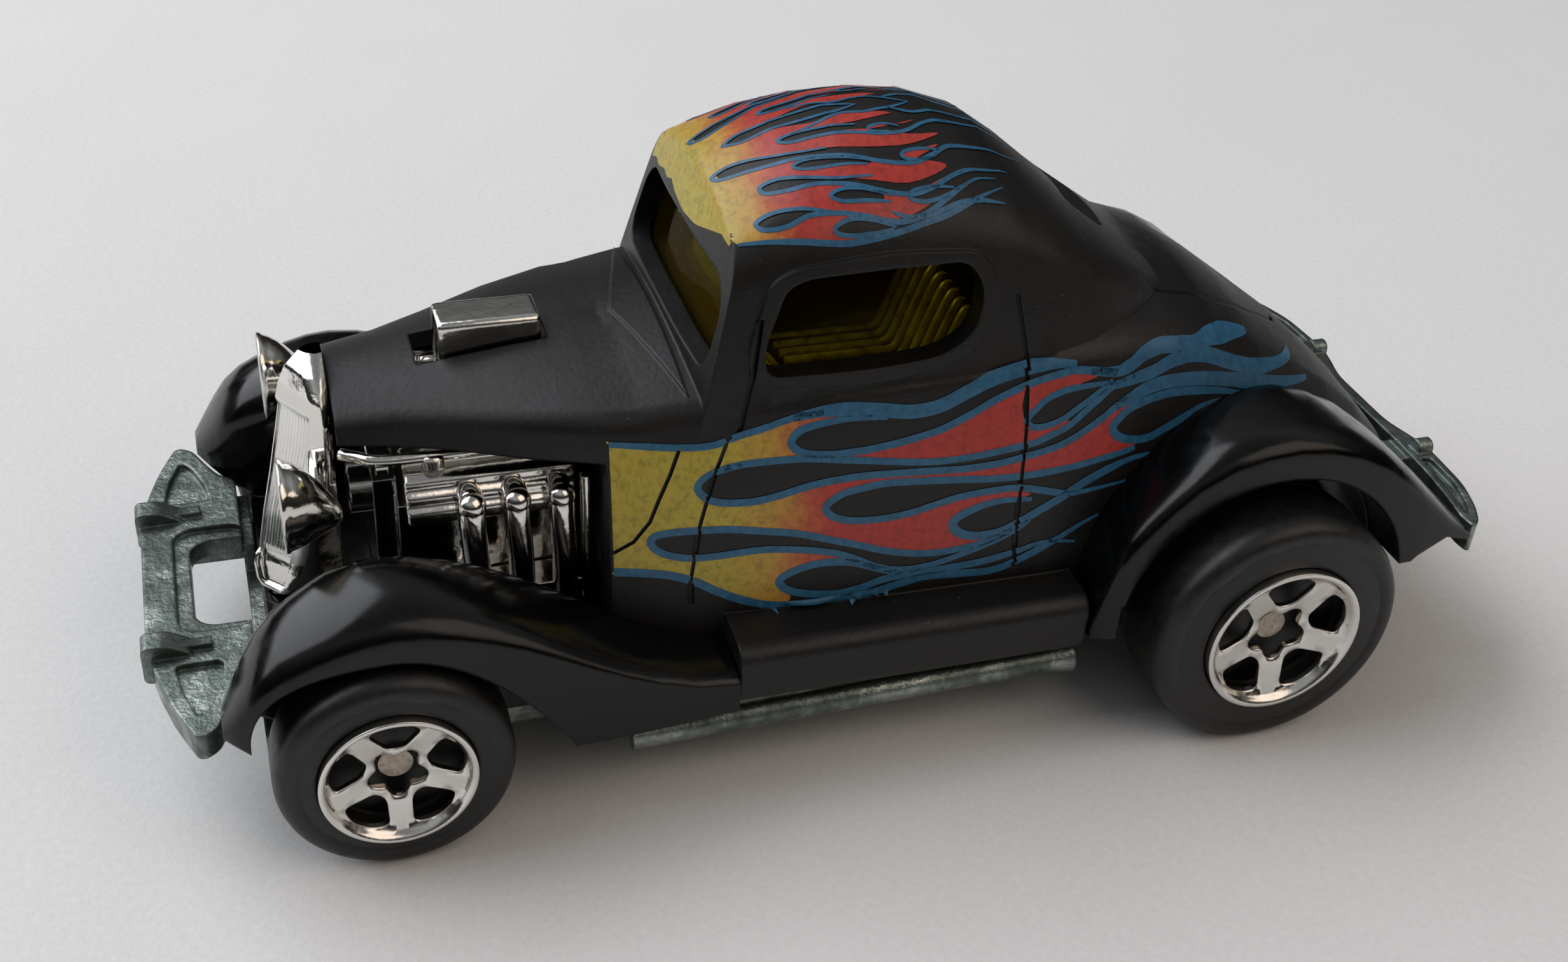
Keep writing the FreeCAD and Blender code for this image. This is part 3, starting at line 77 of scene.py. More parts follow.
def add(tree, kind, sockets=None, stops=(), **settings):
    """Adds a node. A socket takes a value or another node's output, a ramp its (place, colour) stops."""
    item = tree.nodes.new(kind)
    for key, value in settings.items():
        setattr(item, key, value)
    for key, value in (sockets or {}).items():
        if isinstance(value, bpy.types.NodeSocket):
            tree.links.new(value, item.inputs[key])
        else:
            item.inputs[key].default_value = value
    if stops:
        band = item.color_ramp.elements
        while len(band) < len(stops):
            band.new(0.5)
        for stop, (place, colour) in zip(band, stops):
            stop.position = place
            stop.color = colour
    return item


def grained(place, size_mm, detail, roughness=0.5, distortion=0.0):
    """Sockets of a noise whose features have a real size in mm."""
    return {"Vector": place, "Scale": 1.0 / (size_mm * MM), "Detail": detail,
            "Roughness": roughness, "Distortion": distortion}


# Sockets of a Mix node that carry colours, and the rays that round an edge.
mix_first = 6
mix_second = 7
mix_result = 2
edge_samples = 6
Surface = namedtuple("Surface", "material tree place grain shader output")


def surface(name, fixed, grain, tones=(), sheens=(), relief=None, depth_mm=0.0, edge_mm=0.0):
    """Material in which a grain drives colour and gloss, and it or a second grain stands in relief.

    A grain is its size in mm, detail, roughness and distortion; tones and sheens are ramps along it.
    The relief has a real depth. Where an edge radius is given, every edge is rounded over it, as on
    a casting or moulding that has no sharp one.
    """
    material = bpy.data.materials.new(name)
    material.use_nodes = True
    tree = material.node_tree
    tree.nodes.clear()
    place = add(tree, "ShaderNodeTexCoord").outputs["Object"]
    pattern = add(tree, "ShaderNodeTexNoise", grained(place, *grain)).outputs["Fac"]
    height = pattern
    if relief:
        height = add(tree, "ShaderNodeTexNoise", grained(place, *relief)).outputs["Fac"]
    bump = {"Height": height, "Distance": depth_mm * MM, "Strength": 1.0}
    if edge_mm:
        rounded_edge = add(tree, "ShaderNodeBevel", {"Radius": edge_mm * MM}, samples=edge_samples)
        bump["Normal"] = rounded_edge.outputs["Normal"]
    sockets = dict(fixed)
    sockets["Normal"] = add(tree, "ShaderNodeBump", bump).outputs["Normal"]
    if tones:
        stops = [(at, linear(colour)) for at, colour in tones]
        sockets["Base Color"] = add(tree, "ShaderNodeValToRGB", {"Fac": pattern}, stops).outputs["Color"]
    if sheens:
        stops = [(at, grey(value)) for at, value in sheens]
        sockets["Roughness"] = add(tree, "ShaderNodeValToRGB", {"Fac": pattern}, stops).outputs["Color"]
    shader = add(tree, "ShaderNodeBsdfPrincipled", sockets)
    output = add(tree, "ShaderNodeOutputMaterial", {"Surface": shader.outputs["BSDF"]})
    return Surface(material, tree, place, pattern, shader, output)


def satin_enamel():
    """Satin black enamel sprayed on zinc: near black, soft low sheen, orange peel, specks of dust."""
    paint = surface("satin_black_enamel", {"IOR": 1.5, "Specular IOR Level": 0.42}, (5.0, 4.0, 0.6),
                    tones=[(0.3, "#090807"), (0.7, "#110f0d")], sheens=[(0.3, 0.4), (0.7, 0.52)],
                    relief=(0.3, 3.0), depth_mm=0.016, edge_mm=0.16)
    dust = add(paint.tree, "ShaderNodeTexNoise", grained(paint.place, 0.16, 2.0))
    specks = add(paint.tree, "ShaderNodeValToRGB", {"Fac": dust.outputs["Fac"]},
                 [(0.7, grey(0.0)), (0.78, grey(0.05))])
    clean = paint.shader.inputs["Base Color"].links[0].from_socket
    dusty = add(paint.tree, "ShaderNodeMix", {
        "Factor": 1.0, mix_first: clean, mix_second: specks.outputs["Color"]},
        data_type="RGBA", blend_type="ADD")
    paint.tree.links.new(dusty.outputs[mix_result], paint.shader.inputs["Base Color"])
    return paint.material


def gloss_polystyrene():
    """Glossy black moulded plastic: deep black, clear reflections, fine handling scratches."""
    return surface("gloss_black_polystyrene", {
        "Base Color": linear("#060606"), "IOR": 1.5, "Specular IOR Level": 0.34}, (1.6, 6.0, 0.7, 0.6),
        sheens=[(0.35, 0.12), (0.7, 0.27)], relief=(2.4, 2.0), depth_mm=0.02, edge_mm=0.2).material


def bare_zinc():
    """Die-cast zinc left bare: grey with a green cast, flow marks and a tumbled, pitted skin."""
    return surface("bare_die_cast_zinc", {"Metallic": 0.9}, (2.2, 5.0, 0.65, 0.8),
                   tones=[(0.3, "#474d49"), (0.5, "#6c7570"), (0.72, "#a8afa9")],
                   sheens=[(0.3, 0.46), (0.7, 0.26)],
                   relief=(0.3, 3.0, 0.6), depth_mm=0.045, edge_mm=0.18).material


def plated_chrome():
    """Vacuum-plated plastic: bright mirror skin over a slightly wavy moulding, warm in the shade."""
    return surface("vacuum_plated_chrome", {"Metallic": 1.0, "Base Color": linear("#e3e0da")}, (0.9, 3.0),
                   sheens=[(0.3, 0.07), (0.7, 0.16)], depth_mm=0.03, edge_mm=0.12).material


def pale_plating():
    """Plating over fine ribs, seen as one pale satin band."""
    return surface("pale_ribbed_plating", {"Metallic": 1.0, "Base Color": linear("#fbfaf7")}, (0.7, 3.0),
                   sheens=[(0.3, 0.26), (0.7, 0.4)], depth_mm=0.01).material


def yellow_glazing():
    """Thin clear polystyrene tinted yellow: the cabin shows through in colour, under a faint gloss."""
    pane = surface("yellow_tinted_polystyrene", {
        "Base Color": linear("#4a3c00"), "IOR": 1.5, "Roughness": 0.06, "Specular IOR Level": 0.5},
        (4.0, 2.0), depth_mm=0.02)
    tint = add(pane.tree, "ShaderNodeBsdfTransparent", {"Color": linear("#f7f07a")})
    slant = add(pane.tree, "ShaderNodeLayerWeight", {"Blend": 0.12})
    gloss = add(pane.tree, "ShaderNodeValToRGB", {"Fac": slant.outputs["Fresnel"]},
                [(0.0, grey(0.06)), (1.0, grey(0.6))])
    seen = add(pane.tree, "ShaderNodeMixShader", {
        0: gloss.outputs["Color"], 1: tint.outputs["BSDF"], 2: pane.shader.outputs["BSDF"]})
    pane.tree.links.new(seen.outputs["Shader"], pane.output.inputs["Surface"])
    return pane.material


def cabin_plating_painted_shade():
    """Plated cabin moulding seen through the tint, its base colour darkened as painted shade of the dim
    cabin: dark metal sheen on every rib.
    """
    # Painted shade: the dark base colour stands in for the dim light under the roof, not the plating's own
    # colour.
    return surface("cabin_plating_with_painted_shade", {"Metallic": 1.0, "Base Color": linear("#6d6a5e")}, (1.1, 3.0),
                   sheens=[(0.3, 0.2), (0.7, 0.34)], depth_mm=0.03).material


def pleat_highlight_plating():
    """Raised pleats and rim of the cabin moulding: paler plating as painted highlight, so that they catch
    what light comes in.
    """
    # The pale yellowish tones are painted highlight on the pleats and the steering wheel's rim, a lit copy of
    # the cabin plating.
    return surface("pleat_painted_highlight_plating", {"Metallic": 0.35}, (0.8, 3.0),
                   tones=[(0.3, "#8a8560"), (0.7, "#cfcaa0")], sheens=[(0.3, 0.24), (0.7, 0.4)],
                   depth_mm=0.02).material


def steel_wire():
    """Cut steel wire: dull grey end with a warm cast and fine turning marks."""
    return surface("drawn_steel_wire", {"Metallic": 0.85}, (0.25, 4.0, 0.7),
                   tones=[(0.3, "#a39689"), (0.7, "#cfc3b6")], sheens=[(0.3, 0.55), (0.7, 0.4)],
                   depth_mm=0.01).material


def wheel_plastic():
    """Black wheel plastic: satin from rolling, with a faint grain."""
    return surface("satin_black_wheel_plastic", {"IOR": 1.5}, (0.5, 4.0, 0.6),
                   tones=[(0.3, "#0c0c0b"), (0.7, "#131211")], sheens=[(0.3, 0.36), (0.7, 0.5)],
                   depth_mm=0.012, edge_mm=0.2).material


def stamped_foil():
    """Hot-stamped chrome foil on the wheel face: bright, with fine rub marks."""
    return surface("hot_stamped_foil", {"Metallic": 1.0, "Base Color": linear("#dedbd5")},
                   (0.6, 5.0, 0.7, 0.5), sheens=[(0.35, 0.1), (0.7, 0.26)],
                   depth_mm=0.01, edge_mm=0.08).material


def flame_ink(name, start_mm, end_mm):
    """Pad-printed ink that runs from yellow through orange to red along the car, mottled and worn."""
    ink = surface(name, {"IOR": 1.5, "Roughness": 0.42}, (0.35, 3.0, 0.7), depth_mm=0.008)
    split = add(ink.tree, "ShaderNodeSeparateXYZ", {"Vector": ink.place})
    cloud = add(ink.tree, "ShaderNodeTexNoise", grained(ink.place, 1.2, 4.0, 0.6))
    cloud_reach = 2.0 * MM
    shift = add(ink.tree, "ShaderNodeMath", {0: cloud.outputs["Fac"], 1: cloud_reach, 2: split.outputs["Y"]},
                operation="MULTIPLY_ADD")
    run = add(ink.tree, "ShaderNodeMapRange", {
        "Value": shift.outputs["Value"], "From Min": start_mm * MM, "From Max": end_mm * MM})
    base = add(ink.tree, "ShaderNodeValToRGB", {"Fac": run.outputs["Result"]}, [
        (0.0, linear("#b7a336")), (0.4, linear("#bf9136")), (0.6, linear("#bd5a2c")),
        (0.8, linear("#b4352b"))])
    wear = add(ink.tree, "ShaderNodeValToRGB", {"Fac": ink.grain}, [(0.3, grey(0.62)), (0.55, grey(1.0))])
    wear_and_painted_highlight = add(ink.tree, "ShaderNodeMix", {
        "Factor": 1.0, mix_first: base.outputs["Color"], mix_second: wear.outputs["Color"]},
        data_type="RGBA", blend_type="MULTIPLY")
    ink.tree.links.new(wear_and_painted_highlight.outputs[mix_result], ink.shader.inputs["Base Color"])
    return ink.material


def blue_ink():
    """Pad-printed blue outline: opaque, slightly mottled."""
    return surface("blue_print_ink", {"IOR": 1.5, "Roughness": 0.42}, (0.4, 3.0, 0.7),
                   tones=[(0.3, "#1c5070"), (0.65, "#2a688c")], depth_mm=0.008).material


def paper():
    """Uncoated white paper: matt, with fine fibres and soft cockles."""
    sheet = surface("white_writing_paper", {"Roughness": 0.9, "Specular IOR Level": 0.25}, (0.35, 4.0, 0.7),
                    tones=[(0.3, "#e2e1e0"), (0.7, "#ebeae8")], depth_mm=0.03)
    cockle_depth = 0.6 * MM
    cockle = add(sheet.tree, "ShaderNodeTexNoise", grained(sheet.place, 28.0, 2.0))
    swell = add(sheet.tree, "ShaderNodeBump", {
        "Height": cockle.outputs["Fac"], "Distance": cockle_depth, "Strength": 1.0})
    fibres = sheet.shader.inputs["Normal"].links[0].from_node
    sheet.tree.links.new(swell.outputs["Normal"], fibres.inputs["Normal"])
    return sheet.material


def smooth(points, closed=False, steps=6):
    """Catmull-Rom curve through the points."""
    count = len(points)
    result = []
    for i in range(count if closed else count - 1):
        quad = []
        for k in (i - 1, i, i + 1, i + 2):
            quad.append(points[k % count] if closed else points[min(max(k, 0), count - 1)])
        p0, p1, p2, p3 = [Vector(q) for q in quad]
        for s in range(steps):
            t = s / steps
            result.append(0.5 * (2 * p1 + (p2 - p0) * t + (2 * p0 - 5 * p1 + 4 * p2 - p3) * t * t
                                 + (3 * p1 - p0 - 3 * p2 + p3) * t ** 3))
    if not closed:
        result.append(Vector(points[-1]))
    return result


# Places across a brush line, and how fast it comes to its full width: in a sixth of its length.
brush_shares = (1.0, 0.5, 0.0, -0.5, -1.0)
brush_swell = 6


def brush(points, width, tips):
    """One brush line: a strip along a smooth curve, with its own width at each tip."""
    line = smooth(points, steps=8)
    last = len(line) - 1
    rows = []
    for i, p in enumerate(line):
        step = line[min(i + 1, last)] - line[max(i - 1, 0)]
        side = Vector((-step.y, step.x)).normalized()
        share = i / last
        start = tips[0] + (1 - tips[0]) * share * brush_swell
        end = tips[1] + (1 - tips[1]) * (1 - share) * brush_swell
        half = 0.5 * width * min(1.0, start, end)
        rows.append([p + side * half * across for across in brush_shares])
    return loft(rows, closed=False, caps=False)


def inside(point, outline):
    """Even-odd test of a point against a closed outline."""
    hit = False
    for a, b in zip(outline, outline[1:] + outline[:1]):
        if (a.y > point.y) != (b.y > point.y):
            if point.x < (b.x - a.x) * (point.y - a.y) / (b.y - a.y) + a.x:
                hit = not hit
    return hit


def triangulated(rings, loose, wanted, tolerance):
    """Triangles between closed rings and loose points, where the middle of each is wanted."""
    verts, edges = [], []
    for ring in rings:
        first = len(verts)
        verts += ring
        edges += [(first + k, first + (k + 1) % len(ring)) for k in range(len(ring))]
    out, _, triangles, _, _, _ = geometry.delaunay_2d_cdt(verts + loose, edges, [], 0, tolerance)
    kept = []
    for t in triangles:
        middle = sum((out[i] for i in t), Vector((0, 0))) / 3
        if wanted(middle):
            kept.append(tuple(t))
    return list(out), kept


def fill(outline, step, cuts=()):
    """Small triangles over an outline, split along the cuts."""
    low = Vector((min(p.x for p in outline), min(p.y for p in outline)))
    high = Vector((max(p.x for p in outline), max(p.y for p in outline)))
    grid = []
    for i in range(int((high.x - low.x) / step) + 1):
        for j in range(int((high.y - low.y) / step) + 1):
            grid.append(low + Vector((i * step, j * step)))
    return triangulated([outline] + list(cuts), grid, lambda middle: inside(middle, outline), 1e-5)


def join(pieces):
    """One shape, points and faces, from several."""
    verts, faces = [], []
    for v, f in pieces:
        first = len(verts)
        verts += list(v)
        faces += [tuple(first + i for i in face) for face in f]
    return verts, faces


def loft(rings, closed=True, caps=True):
    """Skin over rows of as many points, each a closed ring unless said otherwise."""
    wide = len(rings[0])
    verts = [p for ring in rings for p in ring]
    faces = []
    for i in range(len(rings) - 1):
        for k in range(wide if closed else wide - 1):
            onward = (k + 1) % wide
            faces.append((wide * i + k, wide * i + onward, wide * (i + 1) + onward, wide * (i + 1) + k))
    if caps:
        faces.append(tuple(range(wide)))
        faces.append(tuple(wide * (len(rings) - 1) + k for k in range(wide)))
    return verts, faces


def mesh_of(name, verts, faces, edges=()):
    """Mesh from points in metres."""
    mesh = bpy.data.meshes.new(name)
    mesh.from_pydata(verts, edges, faces)
    return mesh


def placed_object(name, data):
    """Object in the scene for a mesh, a light or a camera."""
    obj = bpy.data.objects.new(name, data)
    bpy.context.scene.collection.objects.link(obj)
    return obj


def ray_target(mesh):
    """Search tree of a mesh, for rays cast onto it."""
    return BVHTree.FromPolygons([v.co for v in mesh.vertices], [tuple(p.vertices) for p in mesh.polygons])


skin = ray_target(nodes["body_shell"].data)
# How the print is laid, in mm: where rays start, how far and how deep a bridged groove reaches, the
# roof's own curve, the widest place of the flank, and the longest side of a face that lies flat on
# the paint. A film stands off the paint by its lift.
ray_start = 20.0
groove_reach = 0.24
groove_depths = (0.03, 0.3)
roof_axis_z = 17.0
roof_print_z = 26.3
roof_print_drop = 0.055
flank_print_x = 10.0
longest_flat_side = 1.6
ink_lift = 0.02
line_lift = 0.035
roof_ink_lift = 0.025
roof_line_lift = 0.04
leftward = Vector((1, 0, 0))
backward = Vector((0, 1, 0))
upward = Vector((0, 0, 1))


def settle(start, towards, across, along):
    """Where a ray meets the paint. A groove is bridged by the mean of the paint on both sides of it."""
    hit, normal, _, _ = skin.ray_cast(start, towards)
    if hit is None:
        return None, None
    depth = (hit - start).dot(towards)
    reach = groove_reach * MM
    shallow, deep = [limit * MM for limit in groove_depths]
    for step in (across, along, across + along, across - along):
        sides = [skin.ray_cast(start + sign * reach * step, towards)[0] for sign in (-1, 1)]
        if None not in sides:
            mean = sum((side - start).dot(towards) for side in sides) / 2
            if shallow < depth - mean < deep:
                depth = mean
    return start + depth * towards, -towards if normal.dot(towards) > 0 else normal


def lay_side(p):
    """Point (y, z) in mm on the left flank."""
    return settle(Vector((ray_start, p.x, p.y)) * MM, -leftward, backward, upward)


def lay_roof(p):
    """Point (x, y) in mm on the roof, met square to its curve."""
    aim = Vector((p.x, 0, roof_print_z - roof_print_drop * p.x * p.x - roof_axis_z)).normalized()
    start = Vector((0, p.y, roof_axis_z)) * MM + aim * ray_start * MM
    return settle(start, -aim, backward, Vector((aim.z, 0, -aim.x)))


def lay_header(p):
    """Point (x, z) in mm on the face above the windscreen."""
    return settle(Vector((p.x, -ray_start, p.y)) * MM, backward, leftward, upward)


outward = {lay_side: leftward, lay_roof: upward, lay_header: Vector((0, -1, 0.3))}


def decal(name, shape, lay, lift, material, mirrored=False):
    """Printed film pressed onto the body shell, left off what stands out past the flank."""
    verts, faces = shape
    place = []
    off = set()
    for index, v in enumerate(verts):
        hit, normal = lay(v)
        if hit is None or abs(hit.x) > flank_print_x * MM:
            off.add(index)
            place.append(Vector((0, 0, 0)))
        else:
            place.append(hit + normal * lift * MM)
    out = outward[lay]
    if mirrored:
        place = [Vector((-p.x, p.y, p.z)) for p in place]
        out = Vector((-out.x, out.y, out.z))
    flat = []
    for face in faces:
        longest = max((place[a] - place[b]).length for a in face for b in face)
        if longest < longest_flat_side * MM and not off.intersection(face):
            flat.append(face)
    mesh = mesh_of(name, place, flat)
    mesh.update()
    for p in mesh.polygons:
        if p.normal.dot(out) < 0:
            p.flip()
        p.use_smooth = True
    mesh.materials.append(material)
    obj = placed_object(name, mesh)
    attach(obj, "car")


def strip_outline(points, width):
    """Closed band round an open line, for the seams that part the print."""
    left, right = [], []
    for i, p in enumerate(points):
        step = Vector(points[min(i + 1, len(points) - 1)]) - Vector(points[max(i - 1, 0)])
        side = Vector((-step.y, step.x)).normalized() * width / 2
        left.append(Vector(p) + side)
        right.append(Vector(p) - side)
    return left + right[::-1]


# Seams of cowl and door that part the flank print: points (y, z) in mm.
seam_width = 0.17
seams = [
    [(-8.8, 15.75), (-9.2, 14.7), (-9.7, 13.6), (-10.1, 12.6), (-10.8, 11.7), (-11.8, 11.12)],
    [(-6.2, 17.5), (-7.4, 14.5), (-8.04, 12.2), (-8.4, 9.7), (-8.4, 8.2)],
    [(6.46, 18.5), (6.5, 15.5), (6.4, 12.7), (6.4, 10.3), (6.5, 8.2)],
]
seam_bands = [strip_outline(seam, seam_width) for seam in seams]


def off_seams(shape):
    """The shape without what lies in a seam."""
    verts, faces = shape
    kept = []
    for face in faces:
        middle = sum((Vector(verts[i]) for i in face), Vector((0, 0))) / len(face)
        if not any(inside(middle, band) for band in seam_bands):
            kept.append(face)
    return verts, kept


# Blue brush lines on the flank: points (y, z) in mm, then the width and the two tip shares.
flank_lines = [
    ([(-11.65, 16.1), (-10.1, 15.95), (-8.7, 15.85), (-7.4, 15.9), (-6.3, 16.25), (-5.2, 16.55),
      (-4.0, 16.9), (-2.7, 17.1)], 0.3, (0.8, 1.0)),
    ([(-4.0, 16.9), (-2.7, 17.1), (-1.5, 17.1), (-0.2, 16.95), (1.1, 16.75), (2.4, 16.85), (3.6, 17.3),
      (4.8, 17.75), (6.3, 18.05), (7.5, 18.1), (8.8, 18.0)], 0.62, (0.5, 0.35)),
    ([(0.1, 16.6), (-1.5, 16.7), (-2.7, 16.6), (-3.7, 16.35), (-4.1, 15.85), (-3.7, 15.4), (-2.7, 15.2),
      (-1.5, 15.2), (-0.2, 15.3), (1.1, 15.5), (2.5, 15.8), (3.8, 16.3), (4.9, 16.8), (6.5, 17.35),
      (8.4, 17.7), (9.5, 17.6), (10.8, 17.35)], 0.34, (0.6, 1.0)),
    ([(9.5, 17.55), (10.8, 17.4), (11.5, 17.6), (12.1, 17.9), (13.0, 18.05), (14.1, 17.9), (15.0, 17.7),
      (16.1, 17.7), (17.5, 17.35), (18.8, 16.9)], 0.6, (0.5, 0.2)),
    ([(10.6, 16.95), (9.5, 16.95), (8.4, 16.9), (7.5, 16.65), (6.9, 16.2), (6.5, 15.75), (6.8, 15.4),
      (7.5, 15.4), (8.3, 15.65), (9.0, 16.05), (9.8, 16.5), (10.6, 17.0)], 0.3, (0.6, 1.0)),
    ([(-7.3, 14.75), (-6.2, 15.0), (-4.6, 15.1), (-3.1, 15.05), (-1.1, 14.8), (1.8, 14.4), (3.5, 14.35),
      (5.0, 14.45), (6.8, 14.65), (7.6, 14.9), (8.5, 15.25), (9.2, 15.75), (9.9, 16.25), (10.7, 16.8),
      (11.7, 17.0)], 0.32, (1.0, 1.0)),
    ([(10.7, 16.8), (11.7, 16.95), (12.7, 17.1), (13.5, 17.35), (14.6, 17.4), (15.8, 17.1), (17.1, 16.5),
      (18.4, 15.95), (19.8, 15.55), (22.0, 15.0)], 0.6, (0.6, 0.2)),
    ([(-6.2, 15.0), (-7.2, 14.8), (-7.9, 14.4), (-8.05, 13.95), (-7.6, 13.5), (-6.8, 13.3), (-5.7, 13.3),
      (-4.6, 13.5), (-3.4, 13.8), (-2.1, 14.0), (-0.6, 14.05), (1.9, 13.95), (3.6, 13.85), (5.3, 13.9),
      (6.7, 14.1), (7.8, 14.3), (8.7, 14.6), (9.5, 15.0), (10.2, 15.4), (10.8, 15.8), (11.5, 16.15)],
      0.34, (0.6, 1.0)),
    ([(10.8, 15.8), (11.5, 16.1), (12.4, 16.4), (13.4, 16.5), (14.5, 16.4), (15.8, 16.15), (17.2, 15.75),
      (18.3, 15.35), (20.1, 14.8), (22.5, 14.1)], 0.62, (0.5, 0.25)),
    ([(18.6, 14.75), (17.1, 15.25), (15.9, 15.6), (13.9, 15.95), (12.7, 15.9), (11.6, 15.65),
      (11.0, 15.25), (10.7, 14.85), (11.0, 14.4), (11.7, 14.15), (12.6, 14.1), (13.5, 14.4),
      (14.6, 14.75), (15.7, 15.0), (17.1, 14.95), (18.6, 14.65)], 0.38, (0.3, 0.3)),
    ([(11.9, 13.75), (11.2, 13.6), (10.2, 13.45), (9.2, 13.3), (7.8, 13.2), (6.5, 13.15), (5.0, 13.2),
      (3.6, 13.35), (1.9, 13.5), (0.2, 13.6), (-0.9, 13.5), (-1.9, 13.3), (-2.55, 12.8), (-2.35, 12.35),
      (-1.5, 12.0), (-0.2, 11.9), (1.1, 12.0), (2.3, 12.25), (3.5, 12.5), (4.7, 12.6), (6.2, 12.6),
      (7.5, 12.3), (8.2, 12.1), (9.0, 11.95), (9.9, 12.0), (10.9, 12.1), (11.8, 12.2)], 0.34, (0.8, 0.3)),
    ([(7.0, 11.95), (5.4, 12.05), (4.2, 11.8), (3.35, 11.35), (3.5, 10.8), (4.3, 10.45), (5.4, 10.45),
      (6.4, 10.8), (7.4, 11.3), (8.4, 11.8), (9.1, 12.2), (9.8, 12.55), (10.8, 12.95), (11.9, 13.25),
      (13.4, 13.3)], 0.42, (0.5, 0.3)),
    ([(6.3, 10.5), (4.9, 10.05), (3.7, 9.85), (2.1, 9.85), (0.4, 10.2), (-1.0, 10.7), (-2.5, 11.2),
      (-3.8, 11.6), (-5.2, 11.85), (-6.7, 12.05), (-8.1, 12.1), (-9.3, 12.05), (-9.95, 11.9),
      (-10.05, 11.5), (-9.5, 11.05), (-8.5, 10.8), (-7.3, 10.8), (-6.2, 10.9), (-5.1, 10.95),
      (-3.8, 10.8), (-2.3, 10.5), (-1.3, 10.1), (-0.2, 9.5), (1.0, 9.15), (2.4, 9.2), (3.7, 9.5),
      (5.1, 9.9), (6.3, 10.4), (7.0, 10.9)], 0.34, (1.0, 0.6)),
    ([(1.0, 8.95), (0.1, 9.3), (-1.3, 9.85), (-2.6, 10.0), (-3.7, 9.8), (-4.5, 9.35), (-4.25, 8.85),
      (-3.4, 8.5), (-2.0, 8.3), (-0.8, 8.45), (0.2, 8.75), (1.3, 8.85), (3.1, 8.9), (4.8, 9.0),
      (6.5, 9.3), (7.8, 9.6), (9.4, 9.4)], 0.38, (0.8, 0.3)),
    ([(-11.65, 10.3), (-10.5, 10.2), (-9.3, 10.0), (-8.2, 9.6), (-7.3, 9.05), (-6.1, 8.45), (-4.8, 8.05),
      (-3.2, 7.95), (-1.5, 8.0), (-0.1, 8.15), (1.0, 8.4), (2.2, 8.6), (4.0, 8.5), (5.4, 8.45),
      (6.6, 8.8), (7.6, 9.25), (8.6, 9.75), (9.5, 10.25), (10.4, 10.65)], 0.4, (1.0, 0.3)),
]

# Inked area of the flank and the bare drops in it.
flank_area = smooth([
    (-11.65, 16.1), (-11.65, 16.1), (-10.1, 15.9), (-8.7, 15.8), (-7.4, 15.85), (-6.3, 16.2),
    (-5.2, 16.5), (-4.0, 16.85), (-2.7, 16.95), (-1.8, 16.9), (-2.7, 16.6), (-3.7, 16.35), (-4.1, 15.85),
    (-3.7, 15.4), (-2.7, 15.2), (-1.5, 15.2), (-0.2, 15.3), (1.1, 15.5), (2.5, 15.8), (3.8, 16.3),
    (4.9, 16.8), (6.5, 17.3), (8.4, 17.6), (9.9, 17.35), (8.4, 16.95), (7.5, 16.65), (6.9, 16.2),
    (6.5, 15.75), (6.9, 15.35), (8.2, 15.5), (8.6, 15.4), (7.6, 14.9), (6.8, 14.65), (5.0, 14.45),
    (3.5, 14.35), (1.8, 14.4), (-1.1, 14.8), (-3.1, 15.05), (-4.6, 15.1), (-6.2, 15.0), (-7.2, 14.8),
    (-7.9, 14.4), (-8.05, 13.95), (-7.6, 13.5), (-6.8, 13.3), (-5.7, 13.3), (-4.6, 13.5), (-3.4, 13.8),
    (-2.1, 14.0), (-0.6, 14.05), (1.9, 13.95), (3.6, 13.85), (5.3, 13.9), (6.7, 14.1), (7.8, 14.3),
    (8.7, 14.6), (9.5, 15.0), (10.2, 15.4), (10.8, 15.75), (11.3, 15.9), (12.7, 15.95), (11.6, 15.65),
    (11.0, 15.25), (10.7, 14.85), (11.0, 14.4), (12.3, 14.1), (11.2, 13.65), (10.2, 13.45), (9.2, 13.3),
    (7.8, 13.2), (6.5, 13.15), (5.0, 13.2), (3.6, 13.35), (1.9, 13.5), (0.2, 13.6), (-0.9, 13.5),
    (-1.9, 13.3), (-2.55, 12.8), (-2.35, 12.35), (-1.5, 12.0), (-0.2, 11.9), (1.1, 12.0), (2.3, 12.25),
    (3.5, 12.5), (4.7, 12.6), (6.2, 12.5), (6.9, 12.15), (5.4, 12.0), (4.2, 11.8), (3.35, 11.35),
    (3.5, 10.8), (4.3, 10.45), (5.4, 10.3), (3.7, 9.85), (2.1, 9.85), (0.4, 10.2), (-1.0, 10.7),
    (-2.5, 11.2), (-3.8, 11.6), (-5.2, 11.85), (-6.7, 12.05), (-8.1, 12.1), (-9.3, 12.05), (-9.95, 11.9),
    (-10.05, 11.5), (-9.5, 11.05), (-8.5, 10.8), (-7.3, 10.8), (-6.2, 10.9), (-5.1, 10.95), (-3.8, 10.8),
    (-2.3, 10.5), (-1.3, 10.1), (-2.6, 9.95), (-3.7, 9.8), (-4.5, 9.35), (-4.25, 8.85), (-4.0, 8.6),
    (-4.1, 8.15), (-4.8, 8.05), (-6.1, 8.45), (-7.3, 9.05), (-8.2, 9.6), (-9.3, 10.0), (-10.5, 10.2),
    (-11.65, 10.3), (-11.65, 10.3), (-11.65, 12.0), (-11.65, 14.0)], closed=True, steps=4)

